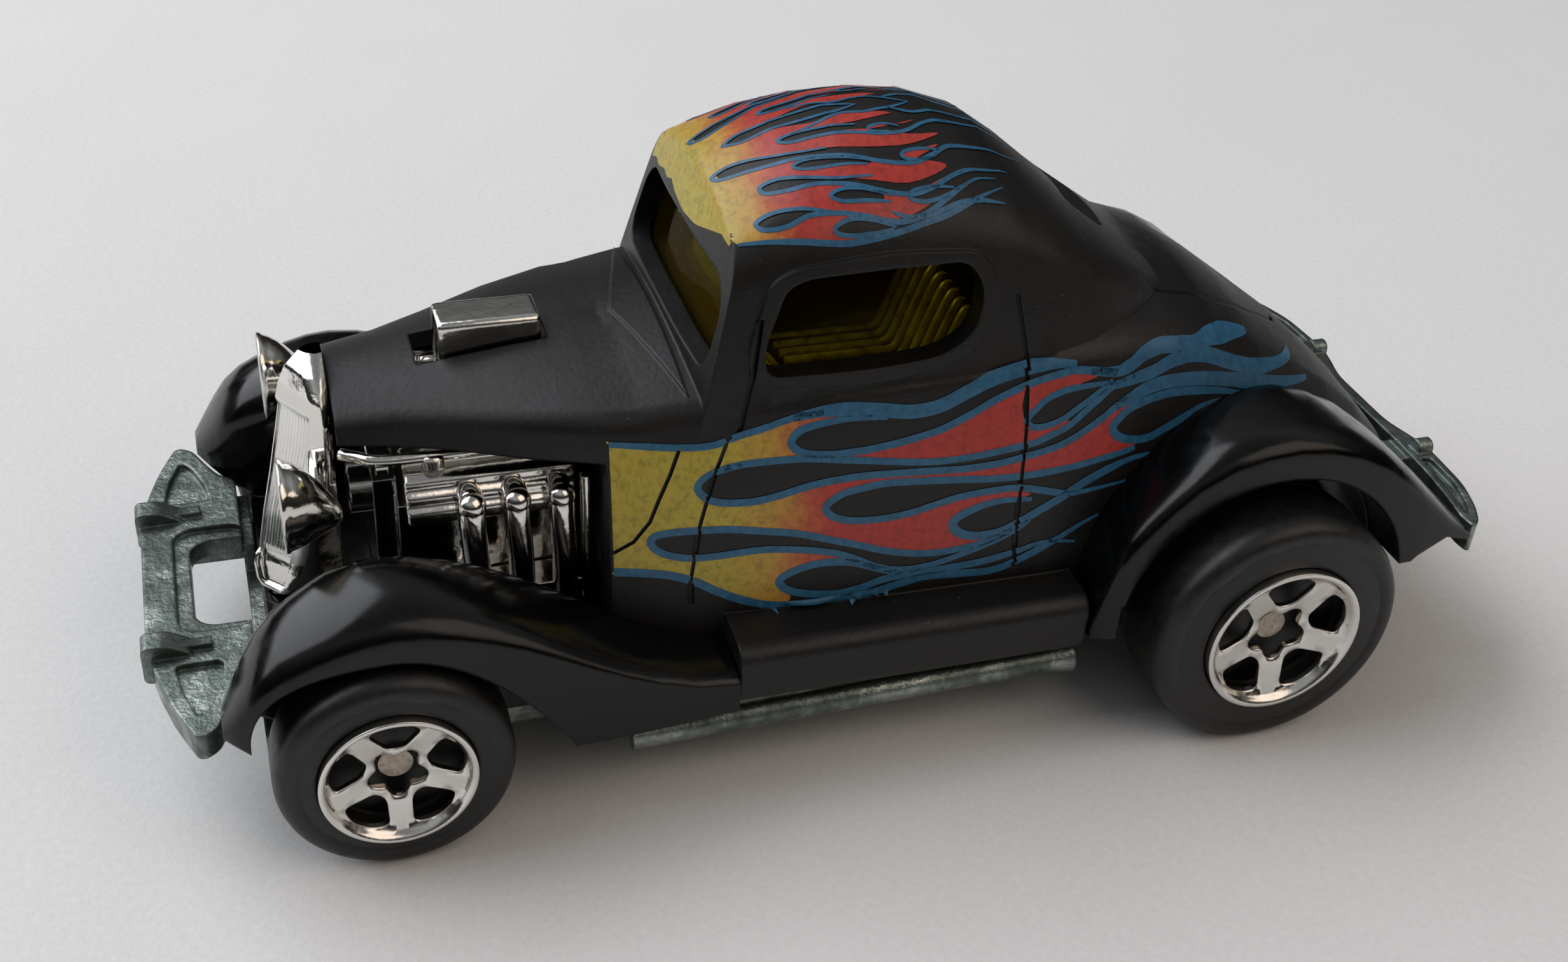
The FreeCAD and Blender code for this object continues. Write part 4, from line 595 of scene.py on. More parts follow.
# Blue lines on the left half of the roof: points (x, y) in mm.
roof_lines = [
    ([(6.1, -6.0), (6.2, -5.0), (6.35, -3.7), (6.5, -2.6), (6.6, -1.6), (6.55, -0.5), (6.4, 0.7),
      (6.2, 1.8), (6.0, 2.8), (5.7, 3.7), (5.3, 4.7), (4.9, 5.8)], 0.34, (0.6, 0.25)),
    ([(5.75, 0.4), (6.0, 1.2), (5.9, 2.3), (5.6, 3.5), (5.5, 4.6), (5.6, 5.7)], 0.3, (0.4, 0.25)),
    ([(5.75, -0.8), (5.55, -2.0), (5.2, -3.4), (5.15, -4.4), (5.4, -5.1), (5.75, -4.9), (5.8, -4.0),
      (5.55, -3.0), (5.6, -1.8), (5.85, -0.6), (6.1, 0.6), (6.0, 1.6), (5.6, 2.6), (5.1, 3.6), (4.6, 4.6),
      (4.5, 5.6)], 0.3, (0.5, 0.3)),
    ([(6.25, 0.5), (5.95, -0.5), (5.85, -1.4), (6.1, -2.1), (6.35, -1.7), (6.4, -0.6), (6.3, 0.4)], 0.26,
      (0.5, 0.5)),
    ([(4.3, 0.0), (4.2, -1.4), (3.85, -2.8), (3.6, -3.8), (3.75, -4.5), (4.15, -4.4), (4.3, -3.5),
      (4.3, -2.2), (4.6, -0.9), (5.0, 0.3), (5.2, 1.4), (5.0, 2.4), (4.6, 3.3), (4.2, 4.4), (4.1, 5.5),
      (4.0, 6.4)], 0.32, (0.5, 0.3)),
    ([(5.2, 0.6), (4.85, -0.4), (4.7, -1.4), (4.9, -1.95), (5.2, -1.5), (5.3, -0.4), (5.4, 0.5)], 0.26,
      (0.5, 0.5)),
    ([(5.0, 3.4), (4.95, 2.4), (5.1, 1.5), (5.35, 1.3), (5.5, 2.0), (5.3, 3.0), (4.9, 3.9)], 0.26,
      (0.5, 0.5)),
    ([(2.6, -1.4), (2.4, -3.0), (1.95, -4.4), (1.75, -5.4), (2.0, -6.0), (2.4, -5.8), (2.6, -4.9),
      (2.75, -3.6), (2.9, -2.2), (3.2, -0.8), (3.7, 0.6), (3.9, 1.8), (3.6, 2.8), (3.1, 3.8), (2.9, 5.2),
      (2.8, 6.6), (2.4, 7.8)], 0.34, (0.5, 0.25)),
    ([(3.5, -0.2), (3.15, -1.4), (3.0, -2.4), (3.2, -3.0), (3.5, -2.5), (3.6, -1.2), (3.75, 0.0)], 0.26,
      (0.5, 0.5)),
    ([(3.3, 3.4), (3.2, 2.5), (3.35, 1.7), (3.65, 1.6), (3.75, 2.4), (3.5, 3.2)], 0.26, (0.5, 0.5)),
    ([(1.5, 0.2), (1.3, -1.2), (1.2, -2.4), (1.4, -3.1), (1.75, -2.7), (1.8, -1.4), (2.0, 0.0),
      (2.3, 1.2), (2.2, 2.2), (1.7, 3.2), (1.4, 4.4), (1.2, 5.8), (0.9, 7.2)], 0.32, (0.5, 0.25)),
    ([(1.9, 2.0), (1.7, 1.3), (1.8, 0.7), (2.1, 0.8), (2.2, 1.5)], 0.24, (0.5, 0.5)),
    ([(0.0, 0.8), (0.35, -0.4), (0.4, -1.8), (0.35, -3.2), (0.4, -4.4), (0.0, -5.1)], 0.32, (0.3, 1.0)),
    ([(0.0, 3.2), (0.45, 2.2), (0.7, 1.0), (0.55, -0.1), (0.9, -1.2), (1.3, -2.6)], 0.28, (0.3, 0.4)),
    ([(0.45, 2.0), (0.9, 3.0), (0.6, 4.4), (0.5, 6.0), (0.1, 7.4)], 0.3, (0.5, 0.25)),
]

# Inked area on the left half of the roof, up to the centre line, then mirrored.
roof_half = [
    (0.0, -6.75), (1.5, -6.72), (3.0, -6.65), (4.5, -6.45), (5.4, -6.25), (6.1, -6.0), (6.2, -5.0),
    (6.35, -3.7), (6.5, -2.6), (6.55, -1.6), (6.4, -0.9), (6.3, -1.8), (6.1, -2.15), (5.85, -1.4),
    (5.8, -0.8), (5.6, -1.8), (5.55, -3.0), (5.8, -4.0), (5.75, -4.9), (5.4, -5.1), (5.15, -4.4),
    (5.2, -3.4), (5.5, -2.0), (5.75, -0.6), (6.0, 0.6), (5.8, 1.6), (5.5, 2.2), (5.35, 1.4), (5.1, 1.4),
    (4.95, 2.3), (4.6, 3.0), (5.0, 2.0), (5.1, 1.2), (4.95, 0.2), (5.3, 0.2), (5.25, -0.8), (5.1, -1.7),
    (4.9, -1.95), (4.7, -1.4), (4.75, -0.6), (4.5, -1.2), (4.3, -2.2), (4.3, -3.5), (4.15, -4.4),
    (3.75, -4.5), (3.6, -3.8), (3.85, -2.8), (4.2, -1.4), (4.5, 0.0), (4.75, 1.4), (4.4, 2.8), (4.0, 3.4),
    (3.75, 2.4), (3.65, 1.6), (3.35, 1.7), (3.2, 2.5), (3.0, 3.4), (3.55, 2.4), (3.85, 1.6), (3.6, 0.4),
    (3.75, 0.0), (3.6, -1.2), (3.5, -2.5), (3.2, -3.0), (3.0, -2.4), (3.1, -1.4), (2.9, -2.2),
    (2.75, -3.6), (2.6, -4.9), (2.4, -5.8), (2.0, -6.0), (1.75, -5.4), (1.95, -4.4), (2.35, -3.0),
    (2.6, -1.4), (2.9, 0.2), (3.0, 1.8), (2.6, 3.2), (2.35, 3.6), (2.4, 2.4), (2.2, 1.4), (2.05, 0.7),
    (1.8, 0.7), (1.7, 1.4), (1.75, 2.2), (1.5, 2.8), (1.9, 1.2), (1.8, -0.2), (1.8, -1.4), (1.75, -2.7),
    (1.4, -3.1), (1.2, -2.4), (1.3, -1.2), (1.3, 0.2), (1.0, 2.0), (0.75, 1.2), (0.6, 0.0), (0.8, -1.4),
    (0.55, -2.4), (0.4, -3.4), (0.4, -4.4), (0.0, -5.1),
]

# Print on the face above the windscreen: points (x, z) in mm, from its worn lower edge up over the corner.
header_area = smooth([
    (-6.4, 22.5), (-5.6, 22.75), (-4.8, 22.7), (-3.9, 22.95), (-3.1, 22.9), (-2.2, 23.2), (-1.4, 23.12),
    (-0.5, 23.42), (0.3, 23.35), (1.2, 23.6), (2.0, 23.55), (2.8, 23.75), (3.7, 23.65), (4.4, 23.8),
    (5.0, 23.75), (5.5, 23.75), (5.4, 24.2), (4.5, 24.6), (2.5, 25.0), (0.0, 25.15), (-2.5, 25.0),
    (-4.5, 24.6), (-6.0, 23.6),
], closed=True, steps=3)


# Where each print turns from yellow to red, in mm along the car, and how fine its triangles are.
flank_ink_run = (-6.0, -0.2)
roof_ink_run = (-5.6, -1.8)
roof_stroke_share = 0.62
flank_grid = 0.4
roof_grid = 0.3
header_grid = 0.2


def flames():
    """Flame print on both flanks and on the roof, parted where a seam runs."""
    ink_side = flame_ink("flank_flame_ink", *flank_ink_run)
    ink_roof = flame_ink("roof_flame_ink", *roof_ink_run)
    blue = blue_ink()
    flank_fill = off_seams(fill(flank_area, flank_grid, seam_bands))
    flank_blue = off_seams(join([brush(points, width, tips) for points, width, tips in flank_lines]))
    for side, mirrored in (("left", False), ("right", True)):
        decal("flame_ink_" + side, flank_fill, lay_side, ink_lift, ink_side, mirrored)
        decal("flame_outline_" + side, flank_blue, lay_side, line_lift, blue, mirrored)
    other = [(-x, y) for x, y in reversed(roof_half)][1:-1]
    roof_area = smooth(roof_half + other, closed=True, steps=3)
    strokes = []
    for points, width, tips in roof_lines:
        strokes.append(brush(points, roof_stroke_share * width, tips))
        strokes.append(brush([(-x, y) for x, y in points], roof_stroke_share * width, tips))
    decal("flame_ink_roof", fill(roof_area, roof_grid), lay_roof, roof_ink_lift, ink_roof)
    decal("flame_outline_roof", join(strokes), lay_roof, roof_line_lift, blue)
    decal("flame_ink_header", fill(header_area, header_grid), lay_header, ink_lift, ink_roof)


finishes = {
    "body_paint": satin_enamel(),
    "fender_plastic": gloss_polystyrene(),
    "bare_zinc": bare_zinc(),
    "chrome_plate": plated_chrome(),
    "tinted_glazing": yellow_glazing(),
    "interior_plastic": cabin_plating_painted_shade(),
    "axle_steel": steel_wire(),
    "wheel_plastic": wheel_plastic(),
    "rim_foil": stamped_foil(),
}

# Angle over which an edge of each piece stays crisp; gentler ones are shaded round.
crisp_angles = {"body_shell": 30.0, "fender_moulding": 34.0, "glazing": 24.0}
plain_crisp_angle = 40.0
merge_distance = 0.001


def shade(mesh, crisp):
    """Rounds the shading over every edge gentler than the crisp angle."""
    form = bmesh.new()
    form.from_mesh(mesh)
    bmesh.ops.remove_doubles(form, verts=form.verts, dist=merge_distance * MM)
    for face in form.faces:
        face.smooth = True
    for edge in form.edges:
        edge.smooth = edge.calc_face_angle(math.pi) < math.radians(crisp)
    form.to_mesh(mesh)
    form.free()


def apply_modifiers(obj):
    """Works the object's modifiers into its mesh."""
    bpy.context.view_layer.update()
    graph = bpy.context.evaluated_depsgraph_get()
    final = obj.evaluated_get(graph)
    plain = bpy.data.meshes.new_from_object(final, preserve_all_data_layers=True, depsgraph=graph)
    obj.modifiers.clear()
    obj.data = plain


def fit(obj, node):
    """Puts a finished piece in a node's place, on the node's body."""
    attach(obj, nodes[node]["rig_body"])
    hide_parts(node)


def finish_piece(obj, node):
    """Evens the shading by face size and puts the piece in its node's place."""
    even = obj.modifiers.new("even_shading", "WEIGHTED_NORMAL")
    even.keep_sharp = True
    apply_modifiers(obj)
    fit(obj, node)


def piece(name, shape, node, slot, crisp=plain_crisp_angle):
    """New piece from points in mm and faces, closed and facing out, in place of a node."""
    verts, faces = shape
    mesh = mesh_of(name, [Vector(v) * MM for v in verts], faces)
    form = bmesh.new()
    form.from_mesh(mesh)
    bmesh.ops.remove_doubles(form, verts=form.verts, dist=merge_distance * MM)
    bmesh.ops.recalc_face_normals(form, faces=form.faces)
    form.to_mesh(mesh)
    form.free()
    shade(mesh, crisp)
    mesh.materials.append(finishes[slot])
    obj = placed_object(name, mesh)
    finish_piece(obj, node)
    return obj


def dressed(node, slot):
    """The node's own shape with its doubles merged, its gentle edges shaded round, and its finish."""
    mesh = nodes[node].data.copy()
    mesh.materials.clear()
    mesh.materials.append(finishes[slot])
    shade(mesh, crisp_angles.get(node, plain_crisp_angle))
    obj = placed_object(node + "_dressed", mesh)
    if node == "chassis_base":
        clear_front_arms(obj)
    finish_piece(obj, node)


def block(x0, x1, y0, y1, z0, z1):
    """Box between six limits in mm."""
    verts = [(x, y, z) for x in (x0, x1) for y in (y0, y1) for z in (z0, z1)]
    return verts, [(0, 1, 3, 2), (4, 6, 7, 5), (0, 4, 5, 1), (2, 3, 7, 6), (0, 2, 6, 4), (1, 5, 7, 3)]


# Room cut out under each front bumper arm, in mm.
arm_x = 5.2
arm_half_width = 2.4
arm_cut_y = (-29.2, -26.62)
arm_cut_z = (2.5, 5.15)


def clear_front_arms(obj):
    """Thins the arms of the front bumper from below, so that the paper shows through its window."""
    for side in (-1, 1):
        middle = side * arm_x
        verts, faces = block(middle - arm_half_width, middle + arm_half_width, *arm_cut_y, *arm_cut_z)
        cutter = placed_object("arm_cutter", mesh_of("arm_cutter", [Vector(v) * MM for v in verts], faces))
        cut = obj.modifiers.new("arm_cut", "BOOLEAN")
        cut.operation = "DIFFERENCE"
        cut.solver = "EXACT"
        cut.object = cutter
        apply_modifiers(obj)
        bpy.data.objects.remove(cutter)


def turned(profile, centre, axis=(1, 0, 0), sides=96):
    """Body of revolution from (place along the axis, radius) points."""
    axis = Vector(axis).normalized()
    across = axis.orthogonal().normalized()
    other = axis.cross(across)
    rings = []
    for place, radius in profile:
        ring = []
        for k in range(sides):
            turn = 2 * math.pi * k / sides
            spoke = across * math.cos(turn) + other * math.sin(turn)
            ring.append(Vector(centre) + axis * place + spoke * radius)
        rings.append(ring)
    return loft(rings)


def rounded(points, radius, steps=5):
    """Closed flat outline with its corners rounded."""
    result = []
    count = len(points)
    for i, p in enumerate(points):
        p = Vector(p)
        back = Vector(points[i - 1]) - p
        onward = Vector(points[(i + 1) % count]) - p
        cut = min(radius, 0.45 * back.length, 0.45 * onward.length)
        a = p + back.normalized() * cut
        b = p + onward.normalized() * cut
        for k in range(steps + 1):
            t = k / steps
            result.append((1 - t) ** 2 * a + 2 * t * (1 - t) * p + t * t * b)
    return result


# Grille, one row per height in mm: z, ridge y, panel edge x and y, outer x and y.
grille_rows = [
    (5.72, -25.75, 0.5, -25.5, 0.7, -25.0), (5.95, -26.0, 0.95, -25.2, 1.15, -24.7),
    (6.4, -26.15, 1.25, -25.0, 1.5, -24.4), (7.2, -26.2, 1.4, -24.8, 1.7, -24.2),
    (8.4, -25.95, 1.45, -24.5, 1.8, -23.95), (10.0, -25.65, 1.65, -24.3, 2.05, -23.6),
    (12.0, -25.2, 1.85, -23.75, 2.35, -23.1), (14.0, -24.8, 2.05, -23.35, 2.7, -22.8),
    (15.6, -24.5, 2.15, -23.2, 2.9, -22.75), (16.4, -24.3, 1.85, -23.25, 2.6, -22.75),
    (17.2, -23.95, 1.1, -23.3, 1.6, -22.75), (17.85, -23.35, 0.3, -23.1, 0.5, -22.7),
]
grille_row_steps = 7
grille_columns = 84
grille_rib_count = 13
grille_rib_height = 0.06
grille_recess = 0.2
grille_lip = 0.2
panel_top_z = 15.7
panel_top_fade = 0.35
panel_foot_z = 7.75
panel_foot_fade = 0.5
foot_dish = 0.32
foot_lip_z = (6.0, 6.3)
bevel_share = 0.3
bevel_crown = 0.05
# The sides draw in towards the back: shares of the outer x, halfway and at the rear.
flank_draw = 0.96
rear_draw = 0.85
grille_rear_y = -22.4


def soft_step(value, start, end):
    """Rises from 0 to 1 between two limits, level at both."""
    t = min(1.0, max(0.0, (value - start) / (end - start)))
    return t * t * (3 - 2 * t)


def grille_half(side):
    """One half of the grille: ribbed panel in a lip, dished foot, bevel and flank."""
    heights = []
    for low, high in zip(grille_rows, grille_rows[1:]):
        for k in range(grille_row_steps):
            t = k / grille_row_steps
            heights.append([a + (b - a) * t for a, b in zip(low, high)])
    heights.append(list(grille_rows[-1]))
    rings = []
    for z, ridge, edge_x, edge_y, outer_x, outer_y in heights:
        face = Vector((edge_x, edge_y - ridge))
        out = Vector((face.y, -face.x)).normalized()
        ribbed = soft_step(z, panel_foot_z, panel_foot_z + panel_foot_fade)
        ring = []
        for k in range(grille_columns + 1):
            share = k / grille_columns
            along = share * face.length
            lip = soft_step(face.length - along, grille_lip * 0.5, grille_lip)
            lip *= soft_step(panel_top_z - z, 0.0, panel_top_fade)
            if z < panel_foot_z:
                lip *= soft_step(along, grille_lip * 0.5, grille_lip) * soft_step(z, *foot_lip_z)
            wave = 0.5 - 0.5 * math.cos(2 * math.pi * grille_rib_count * share)
            dish = (1 - ribbed) * (foot_dish - grille_recess)
            depth = lip * (grille_recess - ribbed * grille_rib_height * wave + dish)
            place = Vector((0, ridge)) + face * share - out * depth
            ring.append(Vector((side * place.x, place.y, z)))
        bevel_x = (1 - bevel_share) * edge_x + bevel_share * outer_x
        bevel_y = (1 - bevel_share) * edge_y + bevel_share * outer_y - bevel_crown
        ring.append(Vector((side * bevel_x, bevel_y, z)))
        ring.append(Vector((side * outer_x, outer_y, z)))
        ring.append(Vector((side * flank_draw * outer_x, 0.5 * (outer_y + grille_rear_y), z)))
        ring.append(Vector((side * rear_draw * outer_x, grille_rear_y, z)))
        ring.append(Vector((0, grille_rear_y, z)))
        rings.append(ring)
    return loft(rings, closed=False, caps=False)


# Lamp, in mm: its outline is squarer than an ellipse and narrows towards the foot.
lamp_x = 5.3
lamp_z = 13.6
lamp_front_y = -24.85
lamp_length = 2.4
lamp_half_width = 1.72
lamp_half_height = 2.05
lamp_squareness = 0.85
lamp_foot_narrowing = 0.2
lamp_sides = 64
# Lamp from its lens back: share of the length, share of the outline, drop in mm.
lamp_rows = [
    (0.16, 0.0, 0.0), (0.1, 0.35, 0.0), (0.08, 0.6, 0.0), (0.1, 0.82, 0.0), (0.06, 0.87, 0.0),
    (0.0, 0.9, 0.0), (-0.02, 0.95, 0.0), (0.0, 1.0, 0.0), (0.05, 1.0, 0.0), (0.1, 0.95, 0.0),
    (0.2, 0.91, 0.02), (0.35, 0.82, 0.06), (0.5, 0.7, 0.14), (0.65, 0.56, 0.25), (0.8, 0.4, 0.42),
    (0.92, 0.27, 0.56), (1.0, 0.14, 0.66), (1.02, 0.0, 0.68),
]


def lamp(side):
    """Bullet lamp with a shield-shaped rim, its lens sunk and domed."""
    rings = []
    for share, width, drop in lamp_rows:
        ring = []
        for k in range(lamp_sides):
            turn = 2 * math.pi * k / lamp_sides
            across = math.copysign(abs(math.cos(turn)) ** lamp_squareness, math.cos(turn))
            up = math.copysign(abs(math.sin(turn)) ** lamp_squareness, math.sin(turn))
            narrow = 1 - lamp_foot_narrowing * max(0.0, -up)
            x = lamp_x + width * across * lamp_half_width * narrow
            z = lamp_z - drop + width * up * lamp_half_height
            ring.append(Vector((side * x, lamp_front_y + share * lamp_length, z)))
        rings.append(ring)
    return loft(rings, caps=False)


def swept_bars():
    """Geometry nodes that turn guide lines into round bars: radius, sides and finish are its inputs."""
    tree = bpy.data.node_groups.new("swept_bars", "GeometryNodeTree")
    for name, kind in (("Guide", "Geometry"), ("Bar Radius", "Float"), ("Bar Sides", "Int"),
                       ("Finish", "Material")):
        tree.interface.new_socket(name, in_out="INPUT", socket_type="NodeSocket" + kind)
    tree.interface.new_socket("Bars", in_out="OUTPUT", socket_type="NodeSocketGeometry")
    given = add(tree, "NodeGroupInput").outputs
    lines = add(tree, "GeometryNodeMeshToCurve", {"Mesh": given["Guide"]})
    ring = add(tree, "GeometryNodeCurvePrimitiveCircle", {
        "Radius": given["Bar Radius"], "Resolution": given["Bar Sides"]})
    swept = add(tree, "GeometryNodeCurveToMesh", {
        "Curve": lines.outputs[0], "Profile Curve": ring.outputs[0], "Fill Caps": True})
    round_shade = add(tree, "GeometryNodeSetShadeSmooth", {0: swept.outputs[0]})
    whole = add(tree, "GeometryNodeRealizeInstances", {"Geometry": round_shade.outputs[0]})
    coated = add(tree, "GeometryNodeSetMaterial", {
        "Geometry": whole.outputs[0], "Material": given["Finish"]})
    add(tree, "NodeGroupOutput", {"Bars": coated.outputs[0]})
    return tree


def bars(name, paths, radius, node, slot, sides=20):
    """Round bars along smooth paths in mm."""
    verts, edges = [], []
    for path in paths:
        line = [Vector(p) for p in path]
        if len(path) > 2:
            line = smooth(line, steps=8)
        first = len(verts)
        verts += [p * MM for p in line]
        edges += [(first + k, first + k + 1) for k in range(len(line) - 1)]
    obj = placed_object(name, mesh_of(name, verts, [], edges))
    grow = obj.modifiers.new("swept_bars", "NODES")
    grow.node_group = bar_tree
    values = {"Bar Radius": radius * MM, "Bar Sides": sides, "Finish": finishes[slot]}
    for item in bar_tree.interface.items_tree:
        if item.in_out == "INPUT" and item.name in values:
            grow[item.identifier] = values[item.name]
    apply_modifiers(obj)
    fit(obj, node)
    return obj


def mirrored_paths(paths):
    """The paths and their mirror images on the car's right."""
    return paths + [[(-x, y, z) for x, y, z in path] for path in paths]


# The pale panel is what faces forward, within this far of the middle.
panel_half_width = 1.8
panel_forward = -0.3
panel_margin = 0.1
bracket_radius = 0.34
bracket_paths = [
    [(2.2, -23.2, 13.9), (3.4, -23.3, 13.9), (4.6, -23.3, 13.4), (5.2, -23.2, 13.2)],
    [(2.2, -23.0, 13.2), (3.6, -23.2, 12.9), (5.0, -23.3, 12.9)],
]


def grille_and_lamps():
    """Plated front: two ribbed halves, a lamp on each side and its bracket."""
    node = "grille_and_headlamps"
    halves = join([grille_half(side) for side in (1, -1)])
    panels = piece("grille_panels", halves, node, "chrome_plate", crisp=50.0)
    panels.data.materials.append(pale_plating())
    for face in panels.data.polygons:
        middle = face.center / MM
        level = panel_foot_z + panel_margin < middle.z < panel_top_z
        if level and face.normal.y < panel_forward and abs(middle.x) < panel_half_width:
            face.material_index = 1
    piece("headlamps", join([lamp(side) for side in (1, -1)]), node, "chrome_plate", crisp=50.0)
    bars("lamp_brackets", mirrored_paths(bracket_paths), bracket_radius, node, "chrome_plate")


window_count = 5
window_centre_degrees = 18.0
window_pitch_degrees = 72.0
# Window of the rim face: shares of the rim radius and degrees either side of its middle.
window_corner_shares = (
    (0.43, -13.0), (0.8, -25.0), (0.86, -12.0), (0.87, 0.0), (0.86, 12.0), (0.8, 25.0), (0.43, 13.0))
window_rounding_share = 0.1
hub_sides = 60
hub_lobe_share = 0.39
hub_waist_share = 0.275
hub_lobe_power = 0.8
# Rim face from the middle out: share of the radius and depth in mm below the lip.
rim_depth_rows = ((0.0, 0.72), (0.35, 0.7), (0.55, 0.56), (0.8, 0.42), (0.875, 0.36), (0.915, 0.12),
                  (0.94, 0.03), (0.975, 0.0), (1.0, 0.05))
rim_sides = 96
rim_point_rows = (0.45, 0.6, 0.75, 0.875, 0.9, 0.915, 0.94, 0.975)
# Edge of a hole in the rim, in mm: how far out from the hole and how deep, and the room kept round it.
hole_edge_rows = ((0.05, 0.0), (0.015, 0.04), (0.0, 0.1), (0.0, 0.3))
hole_clearance = 0.08
lip_height = 0.5


def rim_depth(share):
    """Depth of the rim face below its lip."""
    for (a, low), (b, high) in zip(rim_depth_rows, rim_depth_rows[1:]):
        if share <= b:
            return low + (high - low) * soft_step(share, a, b)
    return rim_depth_rows[-1][1]


def grown(outline, distance):
    """Closed outline moved outward by a distance."""
    count = len(outline)
    middle = sum(outline, Vector((0, 0))) / count
    result = []
    for k, p in enumerate(outline):
        step = outline[(k + 1) % count] - outline[k - 1]
        side = Vector((step.y, -step.x)).normalized()
        if side.dot(p - middle) < 0:
            side = -side
        result.append(p + side * distance)
    return result


def spoke_point(turn, share, radius):
    """Point of the rim face at a share of its radius."""
    return Vector((math.cos(turn), math.sin(turn))) * share * radius


def rim_windows(radius):
    """Outlines of the five windows, with rounded corners."""
    windows = []
    for k in range(window_count):
        middle = math.radians(window_centre_degrees + window_pitch_degrees * k)
        corners = [spoke_point(middle + math.radians(degrees), share, radius)
                   for share, degrees in window_corner_shares]
        windows.append(rounded(corners, window_rounding_share * radius))
    return windows


def rim_hub(radius):
    """Outline of the hub hole, with a lobe between each two windows."""
    hub = []
    for k in range(hub_sides):
        turn = 2 * math.pi * k / hub_sides
        wave = 0.5 + 0.5 * math.cos(window_count * turn)
        share = hub_waist_share + (hub_lobe_share - hub_waist_share) * wave ** hub_lobe_power
        turn += math.radians(window_centre_degrees + window_pitch_degrees / 2)
        hub.append(spoke_point(turn, share, radius))
    return hub


def in_any(point, outlines):
    """Whether a point lies in one of the outlines."""
    return any(inside(point, outline) for outline in outlines)


def rim(node, radius, lip_x, centre_y, centre_z, side):
    """Stamped face: lip, dished plate, five windows and a five-lobed hub hole, with rounded edges."""
    holes = rim_windows(radius) + [rim_hub(radius)]
    wide_holes = [grown(hole, hole_edge_rows[0][0]) for hole in holes]
    turns = [2 * math.pi * k / rim_sides for k in range(rim_sides)]
    edge = [spoke_point(turn, 1.0, radius) for turn in turns]
    kept_clear = [grown(hole, hole_clearance) for hole in holes]
    plate = []
    for share in rim_point_rows:
        for turn in turns:
            p = spoke_point(turn, share, radius)
            if not in_any(p, kept_clear):
                plate.append(p)
    out, faces = triangulated([edge] + wide_holes, plate, lambda middle: not in_any(middle, wide_holes), 1e-6)

    def placed(p, deeper=0.0):
        depth = rim_depth(p.length / radius) + deeper
        return Vector((side * (lip_x - depth), centre_y + p.x, centre_z + p.y))

    shapes = [([placed(p) for p in out], faces)]
    for hole in holes:
        rings = [[placed(p, deeper) for p in grown(hole, apart)] for apart, deeper in hole_edge_rows]
        shapes.append(loft(rings, caps=False))
    shapes.append(loft([[placed(p) for p in edge], [placed(p, lip_height) for p in edge]], caps=False))
    piece("rim_" + node, join(shapes), node, "rim_foil", crisp=50.0)


# Where the web of a tyre lies behind its face, and the radius of the bore that the axle shows in.
web_depth = 1.25
bore_radius = 0.6
rim_proud = 0.4
# Wheel sets in mm: end, axle y, tyre radius, outer face x, width, rim radius.
wheel_sets = [
    ("front", -21.65, 4.95, 13.03, 3.1, 3.24), ("rear", 17.91, 6.1, 14.58, 4.1, 3.79),
]


def tyre_profile(radius, face_x, width, rim_radius):
    """Section from the bore's back round the tread to the rim's seat and web, from the middle plane."""
    inner = face_x - width
    return [
        (inner + 0.9, bore_radius), (inner + 0.9, rim_radius * 0.9), (inner, rim_radius * 0.95),
        (inner, radius * 0.9), (inner + 0.12, radius * 0.96), (inner + 0.4, radius * 0.99),
        (inner + 0.9, radius), (face_x - 0.95, radius), (face_x - 0.6, radius - 0.03),
        (face_x - 0.3, radius - 0.14), (face_x - 0.1, radius - 0.34), (face_x, radius - 0.62),
        (face_x, radius - 0.95), (face_x - 0.05, radius - 1.02), (face_x - 0.02, radius - 1.1),
        (face_x - 0.01, rim_radius + 0.12), (face_x - 0.08, rim_radius + 0.03),
        (face_x - 0.5, rim_radius + 0.01), (face_x - 1.2, rim_radius * 0.93),
        (face_x - web_depth, rim_radius * 0.9), (face_x - web_depth, bore_radius),
    ]


def wheels():
    """Tyres, rim faces and what shows behind them."""
    for end, y, radius, face_x, width, rim_radius in wheel_sets:
        for place, side in (("left", 1), ("right", -1)):
            corner = end + "_" + place
            profile = [(side * along, r) for along, r in tyre_profile(radius, face_x, width, rim_radius)]
            tyre = turned(profile, (0, y, radius))
            piece("tyre_" + corner, tyre, "wheel_" + corner, "wheel_plastic", crisp=38.0)
            rim("rim_face_" + corner, rim_radius, face_x + rim_proud, y, radius, side)


# Pleats of the seat and the shelf behind it, in mm: each follows what a row of rays meets.
pleats_each_side = 8
pleat_pitch = 0.85
pleat_radius = 0.24
pleat_sides = 12
pleat_start_y = -1.5
pleat_step = 0.48
pleat_steps = 26
under_roof_z = 17.6
cabin_floor_z = 9.0
highest_pleat_z = 16.75


def cabin():
    """Pleats that follow the seat and the shelf behind it, and the rim of the steering wheel, both in paler
    plating as painted highlight.
    """
    seat = ray_target(nodes["interior"].data)
    paths = []
    for k in range(-pleats_each_side, pleats_each_side + 1):
        path = []
        for step in range(pleat_steps):
            y = pleat_start_y + pleat_step * step
            hit = seat.ray_cast(Vector((k * pleat_pitch, y, under_roof_z)) * MM, -upward)[0]
            if hit is not None and hit.z > cabin_floor_z * MM:
                path.append((hit.x / MM, y, min(hit.z / MM, highest_pleat_z)))
        if len(path) > 3:
            paths.append(path)
    pleats = bars("seat_pleats", paths, pleat_radius, "interior", "interior_plastic", pleat_sides)
    # Painted highlight: the pleats and the steering wheel take the paler copy of the cabin plating.
    wear_and_painted_highlight = pleat_highlight_plating()
    pleats.data.materials[0] = wear_and_painted_highlight
    bpy.data.objects["steering_wheel_dressed"].data.materials[0] = wear_and_painted_highlight


